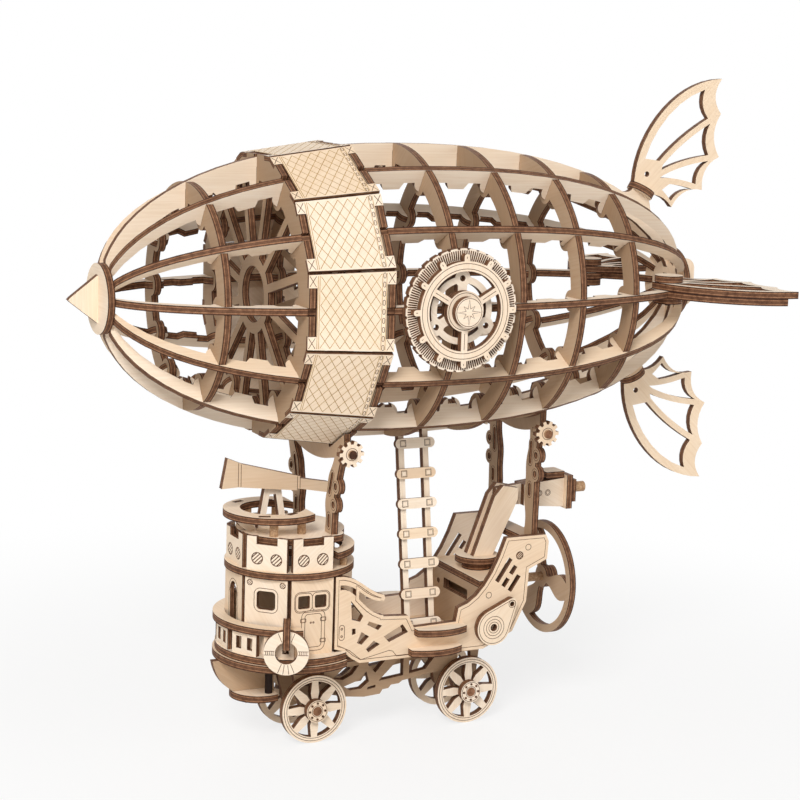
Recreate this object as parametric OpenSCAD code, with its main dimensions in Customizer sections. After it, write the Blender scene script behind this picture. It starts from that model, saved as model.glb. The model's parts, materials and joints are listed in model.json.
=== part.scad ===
// Airship model of slotted plywood: rib and stringer hull, bat-wing fins and a wheeled boat car.
// X runs along the hull with the nose at -X, Y runs across it, Z is up from the floor.

/* [Sheet] */
// Thickness of the structural sheet
ply = 3; // [2.8:0.1:3.2]
// Thickness of the thin sheet of panels and rungs
thin = 2; // [1.6:0.1:2.4]
// Clearance on each side of a slot
fit = 0.1; // [0.05:0.01:0.15]
// Radial clearance of a turning pin
run = 0.08; // [0.04:0.01:0.1]
// Radial clearance of a glued pin
snug = 0.03; // [0.01:0.01:0.05]
// Glue gap between stacked plates
glue = 0.04; // [0.02:0.01:0.06]

/* [Hull] */
// Largest hull radius, at the middle rib
hull_r = 61; // [58:0.5:64]
// Length of the hull curve ahead of the middle rib
nose_len = 126.5; // [125.5:0.5:130]
// Length of the hull curve behind the middle rib
tail_len = 139; // [138:0.5:142]
// Exponent of the hull curve
fullness = 2.25; // [2.15:0.05:2.4]
// Height of the hull axis above the floor
axis_z = 188; // [185:1:195]
// Distance of the nose disc from the front end of the hull curve
nose_trim = 2.5; // [2:0.25:4]
// Distance of the tail disc from the rear end of the hull curve
tail_trim = 3; // [2.5:0.25:5]
// Distance between the plain ribs
rib_pitch = 30; // [28:0.5:31]
// Radial depth of the stringers
stringer_depth = 6; // [5:0.5:7]
// Radial depth of the two keels
keel_depth = 9; // [8:0.5:10]
// Radial depth of the ribs
rib_depth = 8; // [7:0.5:9]
// Depth of the lap joints of ribs and stringers
lap = 3; // [2:0.25:3.5]
// Radius of the lugs at the lap joints
lug_r = 4.5; // [4:0.25:5]
// Radius of the nose disc
nose_disc_r = 14; // [12:0.5:15]
// Radius of the tail disc
tail_disc_r = 16; // [15:0.5:18]
// Length of the nose plate
nose_tip_len = 12; // [9:0.5:16]
// Height of the nose plate at its root
nose_tip_h = 19; // [14:0.5:22]
// Width of the tenons in the end discs
tenon_w = 8; // [6:0.5:10]
// Width of the tail key
tail_key_w = 9.5; // [8:0.5:12]
// Height of the tail key
tail_key_h = 21; // [18:0.5:26]

/* [Band] */
// Station of the front edge of the band
band_front = -61.5; // [-64:0.5:-59]
// Station of the rear edge of the band
band_rear = -27; // [-29:0.5:-26]
// Depth of the panel seats below the hull curve
band_sink = 1; // [0.5:0.1:1.5]
// Gap at each edge of a panel
seam = 0.2; // [0.1:0.05:0.4]
// Width of the corner tabs of a panel
tab_w = 5; // [4:0.25:6]
// Radius of the hub ring of the spoked ribs
web_hub_r = 16; // [13:0.5:19]
// Width of the spokes of the spoked ribs
web_w = 3.4; // [3:0.1:4.5]

/* [Emblem] */
// Outer radius of the knurled ring
emblem_r = 24.3; // [23:0.1:25.5]
// Outer radius of the ship's wheel rim
helm_r = 19.6; // [18.5:0.1:20.5]
// Width of the ship's wheel rim
helm_rim = 3.9; // [3:0.1:4.5]
// Radius over the handles of the ship's wheel
handle_r = 22.4; // [21:0.1:23.5]
// Radius of the hub of the ship's wheel
helm_hub_r = 8; // [6:0.25:9]
// Radius of the emblem pins
emblem_pin_r = 2; // [1.6:0.1:2.4]
// Free play of the ship's wheels along their pins
play = 0.2; // [0.1:0.05:0.4]

/* [Fins] */
// Distance of the root of the upright fins from the rear end of the hull curve
fin_back = 17.3; // [16:0.1:19]
// Height of the root of the upright fins above the hull curve
fin_rise = 8.6; // [8:0.1:10]
// Lean of the fin roots, degrees
fin_lean = 29.6; // [26:0.2:33]
// Half length of the fin roots
root_half = 6; // [5:0.25:7]
// Distance of the root of the level fins from the rear end of the hull curve
side_fin_back = 24; // [22:0.5:26]
// Depth of the root of the level fins below the hull curve
side_fin_sink = 11.1; // [10:0.1:12]
// Width of the fin ribs
fin_rib_w = 2.6; // [2.2:0.1:3]
// Width of the leading edge of the fins
lead_w = 3.4; // [3:0.1:4]
// Radius of the hole near each fin root
fin_hole_r = 1.2; // [1:0.05:1.4]
// Radius of the washers and collars
washer_r = 6; // [5:0.25:6.5]

/* [Hangers] */
// Distance of the hanger legs from the middle plane
leg_y = 17; // [16.5:0.25:17.5]
// Half width of the hanger legs
leg_half = 3.2; // [2.8:0.1:3.4]
// Outward sweep of the front legs from foot to gear
front_flare = 9; // [8:0.5:10]
// Outward sweep of the rear legs from foot to gear
rear_flare = 1.5; // [1:0.25:2]
// Depth of the front saddle below the hull curve
front_saddle = 8; // [7.5:0.1:9]
// Depth of the rear saddle below the hull curve
saddle = 5.2; // [4.5:0.1:6]
// Half width of the rear saddle
saddle_half = 23; // [22.5:0.25:24]
// Tip radius of the small gears
gear_r = 5.4; // [5:0.1:5.8]
// Radius of the gear pins
gear_pin_r = 1.1; // [1:0.05:1.2]

/* [Ladder] */
// Station of the front rail of the ladder
ladder_x = 3; // [2.5:0.25:4]
// Width of the ladder over its rails
ladder_w = 14; // [12:0.5:15]
// Width of a ladder rail
rail_w = 2.6; // [2.2:0.1:3]
// Distance between rungs
rung_pitch = 12.7; // [12:0.1:13]
// Height of a rung
rung_h = 4.4; // [4:0.1:5]
// Radius of the ladder pegs
peg_r = 1; // [0.8:0.05:1.2]

/* [Car] */
// Height of the underside of the car floor
floor_z = 36; // [35:0.5:38]
// Outer face of the side plates from the middle plane
side_y = 24.7; // [24.5:0.1:25.5]
// Width of the walkway outside the corners of the tower
walk_w = 5.1; // [4.6:0.1:6.5]
// Height of the panels round the bow
bow_panel_h = 9.5; // [8:0.25:11]
// Width of the panels round the bow
bow_panel_w = 12.4; // [11:0.2:13]
// Radius of the life ring
life_r = 9.2; // [8.5:0.1:9.5]
// Radius of the hole in the life ring
life_hole_r = 4.6; // [4:0.1:5]

/* [Tower] */
// Station of the tower axis
tower_x = -43; // [-43.5:0.1:-42.8]
// Height of the tower walls
wall_h = 32; // [30:0.5:34]
// Width of a tower wall panel
wall_w = 18.6; // [18:0.1:18.7]
// Radius of the ring deck
ring_r = 27; // [26.5:0.25:28]
// Height of the parapet panels
parapet_h = 14; // [13:0.5:16]
// Height of the roof deck above the ring deck
roof_gap = 10.5; // [10:0.25:11]
// Height of the nest ring above the roof deck
nest_gap = 5.5; // [5:0.25:6.5]
// Outer radius of the nest ring
nest_r = 20.5; // [20:0.25:21]
// Inner radius of the nest ring
nest_hole_r = 13.5; // [13:0.25:14]
// Upward tilt of the telescope, degrees
tele_tilt = 10.6; // [4:0.2:14]
// Height of the telescope pivot above the roof deck
tele_h = 20.5; // [20:0.25:22]
// Radius of the telescope pin
tele_pin_r = 1.2; // [1:0.05:1.4]

/* [Running gear] */
// Radius of the wheels
wheel_r = 14.6; // [14:0.1:15]
// Distance between the axles
wheelbase = 72.4; // [70:0.2:74]
// Radius of the axles
axle_r = 2; // [1.8:0.05:2.2]
// Inner face of the wheels from the middle plane
wheel_y = 11.5; // [11.4:0.1:12.5]
// Inner face of the truss plates from the middle plane
truss_y = 8; // [7.5:0.1:8]
// Radius of the wheel hubs
hub_r = 4.8; // [4.4:0.1:5.2]

/* [Stern] */
// Station of the turret axis
turret_x = 46; // [45.5:0.1:46.5]
// Height of the turret deck above the car floor
turret_h = 23; // [23:0.25:24]
// Radius of the upper turret disc
turret_r = 9.5; // [9:0.25:10]
// Height of the propeller axis
prop_z = 58; // [57:0.25:58.5]
// Station of the front face of the propeller
prop_x = 79; // [77:0.5:82]
// Outer radius of the propeller ring
prop_r = 25; // [23:0.5:27]
// Width of the propeller ring
prop_rim = 3.4; // [3:0.1:4]

/* [Node] */
// Node to draw

/* [Hidden] */
$fn = 64;
step = 30;
core_r = 6.6;
pale = [0.92, 0.84, 0.71];
warm = [0.80, 0.64, 0.46];
dark = [0.45, 0.30, 0.20];
rib_x = [-3 * rib_pitch, band_front + ply / 2, band_rear - ply / 2, 0, rib_pitch, 2 * rib_pitch,
  3 * rib_pitch];
nose_face = nose_len - nose_trim;
tail_face = tail_len - tail_trim;
fin_x = tail_len - fin_back;
fin_r = skin(fin_x) + fin_rise;
side_fin_x = tail_len - side_fin_back;
side_fin_r = skin(side_fin_x) - side_fin_sink;
walk_r = norm([side_y, wall_w / 2]) + walk_w;
x_front = -nose_face - ply - nose_tip_len;
x_rear = fin_x + 38.6;
x_mid = (x_front + x_rear) / 2;
slot = ply + 2 * fit;
front_hang_x = band_rear - 2 * ply - fit;
rear_hang_x = rib_x[5] + ply / 2 + fit;
deck_z = floor_z + ply;
walk_z = deck_z + ply;
rail_z = walk_z + bow_panel_h;
ring_z = walk_z + wall_h;
ring_top = ring_z + ply;
roof_z = ring_top + roof_gap;
roof_top = roof_z + ply;
nest_z = roof_top + nest_gap;
nest_x = tower_x - 8;
tele_x = tower_x - 8;
tele_z = roof_top + tele_h;
side_in = side_y - ply;
turret_z = deck_z + turret_h;
turret_top = turret_z + ply;
bridge_z = turret_top + 14;
axle_x = wheelbase / 2;

// Placing

module place() translate([-x_mid, 0, 0]) children();

module plate_xz(y0, t) translate([0, y0 + t, 0]) rotate([90, 0, 0]) linear_extrude(t) children();

module plate_yz(x0, t) translate([x0, 0, 0]) rotate([90, 0, 90]) linear_extrude(t) children();

module plate_xy(z0, t) translate([0, 0, z0]) linear_extrude(t) children();

module both_sides() {
  children();
  mirror([0, 1, 0]) children();
}

module ring(outer, inner) difference() {
  circle(outer);
  circle(inner);
}

module rod_y(x, z, y0, y1, r) translate([x, y0, z]) rotate([-90, 0, 0]) cylinder(h = y1 - y0, r = r);

module rod_x(x0, x1, y, z, r) translate([x0, y, z]) rotate([0, 90, 0]) cylinder(h = x1 - x0, r = r);

module box_2d(x0, x1, y0, y1) translate([x0, y0]) square([x1 - x0, y1 - y0]);

// An upright stadium hole, length l between its end centres
module oval(l, r) {
  translate([0, l / 2]) circle(r);
  translate([0, -l / 2]) circle(r);
  square([2 * r, l], center = true);
}

function bez2(a, b, c, t) = (1 - t) * (1 - t) * a + 2 * t * (1 - t) * b + t * t * c;

function bez3(a, b, c, d, t) = (1 - t) * bez2(a, b, c, t) + t * bez2(b, c, d, t);

// Hull curve, and the straight seat of the band panels

function skin(x) =
  hull_r * pow(1 - pow(abs(x) / (x < 0 ? nose_len : tail_len), fullness), 1 / fullness);

function band_r(x) = let(a = skin(band_front), b = skin(band_rear))
  a - band_sink + (b - a) * (x - band_front) / (band_rear - band_front);

function on_band(i) = i == 1 || i == 2;

function rib_out(i) = on_band(i)
  ? band_r(rib_x[i] - ply / 2)
  : min(skin(rib_x[i] - ply / 2), skin(rib_x[i] + ply / 2));

function panel_half(x) = band_r(x) * tan(step / 2) - seam;

function outer_edge() = concat(
  [for (i = [18:-1:0]) let(x = band_rear + (tail_face - band_rear) * sin(5 * i)) [x, skin(x)]],
  [[band_rear, band_r(band_rear)], [band_front, band_r(band_front)]],
  [for (i = [0:12]) let(x = band_front - (nose_face + band_front) * sin(7.5 * i)) [x, skin(x)]]);

function inner_edge(depth) = [for (i = [0:24])
  let(x = -nose_face + (tail_face + nose_face) * (1 - cos(7.5 * i)) / 2)
  [x, max(skin(x) - depth, core_r)]];

// Stringer outline in station and radius, with lugs and with the slots for the ribs
module stringer_2d(depth) difference() {
  union() {
    polygon(concat(inner_edge(depth), outer_edge()));
    for (i = [0:6]) translate([rib_x[i], rib_out(i) - depth]) circle(lug_r);
    for (i = [0:5])
      if (i != 1)
        let(xm = (rib_x[i] + rib_x[i + 1]) / 2, s = (skin(xm + 1) - skin(xm - 1)) / 2)
        translate([xm, skin(xm) - depth]) rotate(atan(s))
          polygon([[-3.5, -3], [3.5, -3], [5.5, 1], [-5.5, 1]]);
    children();
  }
  for (i = [0:6]) box_2d(rib_x[i] - slot / 2, rib_x[i] + slot / 2, 0, rib_out(i) - lap);
}

module radial(k) translate([0, 0, axis_z]) rotate([step * k, 0, 0])
  plate_xz(-ply / 2, ply) children();

module rib_slots(i) for (k = [0:11]) rotate(step * k)
  box_2d(-slot / 2, slot / 2, rib_out(i) - lap, rib_out(i) + 6);

module rib_lugs(i) for (k = [0:11]) rotate(step * k) translate([0, rib_out(i) - rib_depth])
  circle(lug_r);

module plain_rib(i) color(warm) place() plate_yz(rib_x[i] - ply / 2, ply) translate([0, axis_z])
  difference() {
    union() {
      ring(rib_out(i), rib_out(i) - rib_depth);
      rib_lugs(i);
    }
    rib_slots(i);
  }

// A rib of the band: flats under the panels, teeth in the panel notches, a spoked web
module band_rib(i, x_edge) color(warm) place() plate_yz(rib_x[i] - ply / 2, ply)
  translate([0, axis_z]) difference() {
    union() {
      rotate(step / 2) circle(rib_out(i) / cos(step / 2), $fn = 12);
      for (k = [0:11]) rotate(step * k)
        let(h = panel_half(x_edge) - tab_w - fit) box_2d(-h, h, rib_out(i) - lap, rib_out(i) + thin);
    }
    rib_slots(i);
    difference() {
      circle(rib_out(i) - rib_depth);
      rib_lugs(i);
      ring(web_hub_r, web_hub_r - 4.5);
      for (k = [0:11]) rotate(step * (k + 0.5))
        box_2d(-web_w / 2, web_w / 2, web_hub_r - 2, rib_out(i));
    }
  }

module rib_1() plain_rib(0);

module rib_2() band_rib(1, band_front);

module rib_3() band_rib(2, band_rear);

module rib_4() plain_rib(3);

module rib_5() plain_rib(4);

module rib_6() plain_rib(5);

module rib_7() plain_rib(6);

module upper_stringers() color(pale) place() for (k = [1, 2, 10, 11])
  radial(k) stringer_2d(stringer_depth);

module lower_stringers() color(pale) place() for (k = [4, 5, 7, 8])
  radial(k) stringer_2d(stringer_depth);

// The side stringers run on past the hull as arms under the level fins
module side_stringers() color(pale) place() for (k = [3, 9]) radial(k) difference() {
  stringer_2d(stringer_depth) translate([side_fin_x, side_fin_r]) {
    translate(fin_hole) circle(washer_r + 1);
    polygon(concat([for (i = [0:14]) beside(0, i / 15, 4.6)], [for (i = [14:-1:0]) lead(i / 15)]));
  }
  translate([side_fin_x, side_fin_r] + fin_hole) circle(fin_hole_r + snug);
}

// Keel with the stub that carries a collar and an upright fin
module keel_2d() let(n = [sin(fin_lean), cos(fin_lean)], e = [cos(fin_lean), -sin(fin_lean)],
    p = [fin_x, fin_r] - ply * n, a = p - 5 * e, b = p + 5 * e)
  stringer_2d(keel_depth) polygon(concat([[b[0] + 2, skin(b[0] + 2) - 1], b],
    [for (i = [6:-1:0])
      bez2([a[0] - 9, skin(a[0] - 9) - 1], [a[0] - 2, skin(a[0] - 2)], a, i / 6)]));

module top_keel() color(pale) place() radial(0) keel_2d();

module bottom_keel() color(pale) place() difference() {
  radial(6) keel_2d();
  for (x = ladder_rail_x) rod_y(x + rail_w / 2, ladder_pin_z, -ply, ply, peg_r + snug);
}

module nose_tip() color(pale) place() plate_xz(-ply / 2, ply) translate([-nose_face, axis_z]) {
  polygon([[-ply, nose_tip_h / 2], [-ply - nose_tip_len + 1, 1], [-ply - nose_tip_len, 0],
    [-ply - nose_tip_len + 1, -1], [-ply, -nose_tip_h / 2]]);
  box_2d(-ply - 1, 0, -tenon_w / 2, tenon_w / 2);
}

module nose_disc() color(warm) place() plate_yz(-nose_face - ply, ply) translate([0, axis_z])
  difference() {
    circle(nose_disc_r);
    square([slot, tenon_w + 2 * fit], center = true);
  }

module tail_disc() color(warm) place() plate_yz(tail_face, ply) translate([0, axis_z])
  difference() {
    circle(tail_disc_r);
    square([slot, tenon_w + 2 * fit], center = true);
  }

module tail_key() color(pale) place() plate_xz(-ply / 2, ply) translate([tail_face, axis_z]) {
  box_2d(0, ply + 3, -tenon_w / 2, tenon_w / 2);
  translate([ply + 2 + tail_key_w / 2, 0]) oval(tail_key_h - tail_key_w, tail_key_w / 2);
}

// Twelve flat panels on the band, notched at both ends for the rib teeth
module band_panels() color(pale) place() translate([0, 0, axis_z]) for (k = [0:11])
  let(rise = band_r(band_rear) - band_r(band_front), run_x = band_rear - band_front,
    slope = atan(rise / run_x), len = run_x / cos(slope), a = panel_half(band_front),
    b = panel_half(band_rear), cut = ply + thin * tan(slope) + 2 * fit)
  rotate([step * k, 0, 0]) translate([band_front, 0, band_r(band_front)]) rotate([0, -slope, 0])
    linear_extrude(thin) difference() {
      polygon([[0, -a], [len, -b], [len, b], [0, a]]);
      box_2d(-1, cut, -a + tab_w, a - tab_w);
      box_2d(len - cut, len + 1, -b + tab_w, b - tab_w);
      if (k == 6) box_2d(len - cut - slot, len + 1, -b - 1, b + 1);
    }

// Emblem: knurled ring with an inner ring and three tabs, seated on the side stringer
module emblem_2d() difference() {
  union() {
    ring(emblem_r, emblem_r - 6);
    ring(13.4, 10.8);
    for (a = [90, 210, 330]) rotate(a) {
      box_2d(5, emblem_r - 5, -2, 2);
      translate([12.6, 0]) circle(3.4);
    }
    circle(helm_hub_r - 0.6);
  }
  circle(emblem_pin_r + snug);
  for (a = [90, 210, 330]) rotate(a) translate([12.6, 0]) circle(1.2);
  for (i = [0:35]) rotate(10 * i + 5) translate([emblem_r, 0]) circle(0.7, $fn = 6);
}

module emblem_backs() color(warm) place() both_sides()
  plate_xz(-hull_r - ply, ply) translate([0, axis_z]) emblem_2d();

module helm_2d() difference() {
  union() {
    ring(helm_r, helm_r - helm_rim);
    for (i = [0:11]) rotate(30 * i) {
      box_2d(helm_r - 1, handle_r - 1.2, -1.2, 1.2);
      translate([handle_r - 1.2, 0]) circle(1.2);
    }
    for (a = [30, 150, 270]) rotate(a) box_2d(helm_hub_r - 1, helm_r - 1, -1.4, 1.4);
    circle(helm_hub_r);
  }
  circle(emblem_pin_r + run);
}

module helm() plate_xz(-hull_r - 2 * ply - play, ply) translate([0, axis_z]) helm_2d();

module helm_left() color(pale) place() helm();

module helm_right() color(pale) place() mirror([0, 1, 0]) helm();

// Pins with heads: the two emblem pins and the four gear pins
module pivot_pins() color(dark) place() both_sides() {
  rod_y(0, axis_z, -hull_r - 2 * ply - 2 * play - 0.1, -hull_r, emblem_pin_r);
  rod_y(0, axis_z, -hull_r - 3 * ply - 2 * play, -hull_r - 2 * ply - 2 * play, helm_hub_r - 2);
  for (x = gear_x) {
    rod_y(x[0], x[1], -gear_y(x) - ply - 2 * fit - 0.1, -x[2] + 1, gear_pin_r);
    rod_y(x[0], x[1], -gear_y(x) - ply - 2 * fit - 1, -gear_y(x) - ply - 2 * fit, gear_pin_r + 0.7);
  }
}

// Each gear pin: place along the hull, height, and distance of its leg from the middle
gear_x = [[front_hang_x + ply / 2, axis_z - skin(front_hang_x) - 1.5, leg_y + front_flare],
  [rear_hang_x + ply / 2, axis_z - skin(rear_hang_x) - saddle + 2, leg_y + rear_flare]];
function gear_y(g) = g[2] + 5.5;

module strut_gears() color(pale) place() both_sides() for (x = gear_x)
  plate_xz(-gear_y(x) - fit - ply, ply) translate([x[0], x[1]]) difference() {
    union() {
      circle(gear_r - 1.3);
      for (i = [0:9]) rotate(36 * i) box_2d(gear_r - 2.5, gear_r, -0.75, 0.75);
    }
    circle(gear_pin_r + snug);
  }

// Bat-wing fin in its own plane: u runs aft, v runs outward from the root
tips = [[38, 47.9], [38.4, 32.5], [38.6, 13.5], [30.5, -1.1], [14.8, -8.6]];
fin_hub = [1.5, 2.5];
fin_hole = [1.1, 6];
root_a = root_half * [-cos(fin_lean), sin(fin_lean)];

function lead(t) = bez3(root_a, [-4.5, 24], [14, 47], tips[0], t);

function fin_curve(i, t) = i == 0 ? lead(t)
  : let(d = tips[i] - fin_hub) bez2(fin_hub, fin_hub + 0.45 * d + 0.13 * [-d[1], d[0]], tips[i], t);

function beside(i, t, w) = let(d = fin_curve(i, t + 0.01) - fin_curve(i, t - 0.01))
  fin_curve(i, t) + w * [d[1], -d[0]] / norm(d);

function scallop(a, b, sag, n) = let(d = b - a, m = (a + b) / 2 + 2 * sag * [d[1], -d[0]] / norm(d))
  [for (i = [0:n - 1]) bez2(a, m, b, i / n)];

function fin_window(i) = let(t0 = [0.17, 0.24, 0.24, 0.42][i], t1 = i == 0 ? 0.86 : 0.87,
    w = i == 0 ? lead_w : fin_rib_w / 2)
  concat([for (j = [0:5]) beside(i, t0 + (t1 - t0) * j / 6, w)],
    scallop(beside(i, t1, w), beside(i + 1, 0.87, -fin_rib_w / 2), 2, 5),
    [for (j = [6:-1:0]) beside(i + 1, (i == 3 ? 0.5 : 0.24) * (6 - j) / 6 + 0.87 * j / 6,
      -fin_rib_w / 2)]);

module fin_2d() difference() {
  polygon(concat([for (i = [0:14]) lead(i / 15)],
    [for (i = [0:3]) each scallop(tips[i], tips[i + 1], 3.2, 7)],
    scallop(tips[4], -root_a, 1.2, 4), [-root_a]));
  for (i = [0:3]) polygon(fin_window(i));
  translate(fin_hole) circle(fin_hole_r);
}

module upright_fin() plate_xz(-ply / 2, ply) translate([fin_x, fin_r]) fin_2d();

module upright_fins() color(pale) place() translate([0, 0, axis_z]) {
  upright_fin();
  mirror([0, 0, 1]) upright_fin();
}

module fin_collar() translate([fin_x, 0, fin_r]) rotate([0, fin_lean, 0]) translate([0, 0, -ply])
  cylinder(h = ply, r = washer_r);

module fin_collars() color(dark) place() translate([0, 0, axis_z]) {
  fin_collar();
  mirror([0, 0, 1]) fin_collar();
}

module side_fins() color(pale) place() both_sides() plate_xy(axis_z + ply / 2, ply)
  mirror([0, 1]) translate([side_fin_x, side_fin_r]) fin_2d();

// Bolt with a round head above the level fin, washer under the arm
module fin_bolts() color(dark) place() both_sides()
  translate([side_fin_x + fin_hole[0], -side_fin_r - fin_hole[1], axis_z]) {
    translate([0, 0, -1.5 * ply - 1]) cylinder(h = 3 * ply + 1.1, r = fin_hole_r - snug);
    translate([0, 0, 1.5 * ply]) cylinder(h = ply, r = washer_r);
    translate([0, 0, -1.5 * ply]) linear_extrude(ply) ring(washer_r, fin_hole_r + snug);
  }

// Hangers: a saddle round the bottom keel and two wavy legs with tenons and two round beads each
front_beads = [0.35, 0.57];
rear_beads = [0.57, 0.74];
bead_r = 3.3;
leg_out = leg_half - 0.4;
function leg_mid(f, flare) = leg_y + flare * f * f;
function leg_wide(f) = leg_half * (1 + 0.55 * pow(sin(180 * f), 2)) + 0.4 * cos(1080 * f);

module leg_2d(top, foot, flare, beads) let(h = top - foot, f0 = beads[0], f1 = beads[1]) {
  difference() {
    union() {
      polygon(concat(
        [for (i = [0:30]) [leg_mid(i / 30, flare) + leg_out, foot + h * i / 30]],
        [for (i = [30:-1:0]) [leg_mid(i / 30, flare) - leg_wide(i / 30), foot + h * i / 30]]));
      for (f = beads) translate([leg_mid(f, flare) + leg_out, foot + h * f]) circle(bead_r);
    }
    for (f = beads) translate([leg_mid(f, flare) + leg_out, foot + h * f]) circle(1.5);
    translate([leg_mid(f1, flare) - 1.7, foot + h * f1 + 0.5]) rotate(-2 * flare) oval(8, 1.1);
    translate([leg_mid(f0, flare) - 1.2, foot + h * f0 - 7.5]) oval(3.5, 1.1);
  }
  box_2d(leg_y - 2, leg_y + 2, foot - ply, foot + 1);
}

function hang_r(x0) = max(skin(x0), skin(x0 + ply)) + fit;

// A hanger plate: the saddle is given as a child, then two legs, the gear bosses and the keel slot
module hanger(x0, gear, foot, flare, beads) let(r = hang_r(x0)) difference() {
  plate_yz(x0, ply) translate([0, axis_z]) difference() {
    union() {
      children();
      for (m = [0, 1]) mirror([m, 0]) {
        leg_2d(-r - 1, foot - axis_z, flare, beads);
        translate([gear[2] + 1.3, gear[1] - axis_z]) circle(4.2);
      }
    }
    box_2d(-slot / 2, slot / 2, -r, 0);
  }
  both_sides() rod_y(gear[0], gear[1], -gear_y(gear) - 1, -gear[2] + 1, gear_pin_r + snug);
}

module saddle_2d(r, deep, half) intersection() {
  ring(r + deep, r - 6.5);
  box_2d(-half, half, -2 * hull_r, 0);
}

// The front saddle lies under the band and passes it only where the bottom panel ends short
band_out = band_r(band_rear) + thin + 0.3;
tongue = panel_half(band_rear) - 0.5;

module front_hanger() color(warm) place()
  hanger(front_hang_x, gear_x[0], roof_top, front_flare, front_beads) difference() {
    saddle_2d(hang_r(front_hang_x), front_saddle, leg_y + front_flare + 4);
    difference() {
      polygon([for (k = [0:11]) band_out / cos(step / 2) * [cos(step * (k + 0.5)), sin(step * (k + 0.5))]]);
      box_2d(-tongue, tongue, -2 * hull_r, 0);
    }
  }

module rear_hanger() color(warm) place()
  hanger(rear_hang_x, gear_x[1], bridge_z + ply, rear_flare, rear_beads)
    saddle_2d(hang_r(rear_hang_x), saddle, saddle_half);

// Ladder from the bottom keel down to the car floor
ladder_rail_x = [ladder_x, ladder_x + ladder_w - rail_w];
ladder_pin_z = axis_z - skin(ladder_x) + 4;
ladder_top_y = -3.6;
ladder_foot_y = -17.6;
ladder_lean = atan((ladder_top_y - ladder_foot_y) / (ladder_pin_z - deck_z));

module on_ladder() translate([0, ladder_top_y, ladder_pin_z]) rotate([-ladder_lean, 0, 0]) children();

module ladder_rails() color(warm) place() difference() {
  for (x = ladder_rail_x) union() {
    on_ladder() {
      translate([x, -ply / 2, -ladder_pin_z + deck_z - 4])
        cube([rail_w, ply, ladder_pin_z - deck_z + 6]);
      for (i = [0:6]) translate([x + 0.4, -ply / 2 - thin, -7.6 - rung_pitch * i - 0.9])
        cube([rail_w - 0.8, thin + 0.5, 1.8]);
    }
    rod_y(x + rail_w / 2, ladder_pin_z, ladder_top_y, ply / 2, peg_r);
  }
  translate([ladder_x - 5, -40, deck_z - 10]) cube([ladder_w + 10, 60, 10]);
}

module ladder_rungs() color(pale) place() on_ladder() for (i = [0:6])
  translate([0, -ply / 2, -7.6 - rung_pitch * i]) rotate([90, 0, 0]) linear_extrude(thin) difference() {
    union() {
      box_2d(ladder_x, ladder_x + ladder_w, -rung_h / 2, rung_h / 2);
      for (x = [ladder_x, ladder_x + ladder_w]) translate([x, 0]) circle(rung_h / 2);
    }
    for (x = ladder_rail_x) box_2d(x + 0.4 - fit, x + rail_w - 0.4 + fit, -0.9 - fit, 0.9 + fit);
  }

// Car floor and bow
module round_plate(r) difference() {
  union() {
    translate([tower_x, 0]) circle(r);
    children();
  }
  for (m = [0, 1]) mirror([0, m]) {
    box_2d(side_x0 - fit, 60, side_in, side_y + fit);
    box_2d(side_x0 + 4.6, 60, side_y, 60);
  }
}

side_x0 = tower_x + 10.4;

module floor_plate() color(warm) place() plate_xy(floor_z, ply)
  round_plate(walk_r) box_2d(tower_x, 40, -side_in, side_in);

module walk_plate() color(warm) place() plate_xy(deck_z, ply) difference() {
  round_plate(walk_r - 1);
  box_2d(tower_x + side_y, 60, -60, 60);
}

module at_tower(a) translate([tower_x, 0, 0]) rotate([0, 0, a]) children();

bow_angles = [-60, -30, 0, 30, 60];
bow_panel_x = walk_r - 2;
life_z = rail_z - 5.5;
life_x = walk_r + fit;
hook_z = life_z + sqrt(pow(life_hole_r, 2) - pow(ply / 2, 2)) - glue;
hook_top = life_z + life_r + fit;

module bow_panels() color(pale) place() for (a = bow_angles) at_tower(a)
  plate_yz(-bow_panel_x, thin) difference() {
    box_2d(-bow_panel_w / 2, bow_panel_w / 2, walk_z, rail_z);
    for (s = [-2.8, 2.8]) translate([s, walk_z + bow_panel_h / 2])
      square([2.7, 5.2], center = true);
  }

module bow_rail() color(warm) place() translate([tower_x, 0, 0]) plate_xy(rail_z, ply) difference() {
  ring(walk_r, walk_r - walk_w + fit);
  polygon([[0, 0], [-10, 48], [60, 60], [60, -60], [-10, -48]]);
}

// Life ring hung on a flat hook that stands on the bow rail
module life_ring() color(pale) place() at_tower(66) {
  plate_yz(-life_x - ply, ply) translate([0, life_z]) ring(life_r, life_hole_r);
  plate_xz(-ply / 2, ply) polygon([[-walk_r + 5, rail_z + ply], [-walk_r + 5, hook_top + 3],
    [-life_x - ply - 2.8, hook_top + 3], [-life_x - ply - 2.8, hook_z - 2.2], [-life_x, hook_z - 2.2],
    [-life_x, hook_z], [-life_x - ply - fit, hook_z], [-life_x - ply - fit, hook_top],
    [-walk_r + 0.5, hook_top], [-walk_r + 0.5, rail_z + ply]]);
}

// Tower
wall_angles = [0, 45, 90, 135, 180, 225, 270, 315];

module arch(w, h) {
  box_2d(-w / 2, w / 2, 0, h - w / 2);
  translate([0, h - w / 2]) circle(w / 2);
}

module pane(w, h, r) {
  square([w - 2 * r, h], center = true);
  square([w, h - 2 * r], center = true);
  for (x = [-1, 1], y = [-1, 1]) translate([x * (w / 2 - r), y * (h / 2 - r)]) circle(r);
}

module wall_openings(a) {
  if (a == 0) translate([0, 3]) arch(7.5, 24);
  if (a == 45 || a == 315) translate([0, 22.6]) pane(8.2, 7.8, 1.6);
  if (a == 90 || a == 270) for (s = [-3.7, 3.7]) translate([s, 22.4]) pane(5.2, 5.4, 0.8);
  if (a == 180) translate([0, 10]) arch(8, 16);
}

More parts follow.
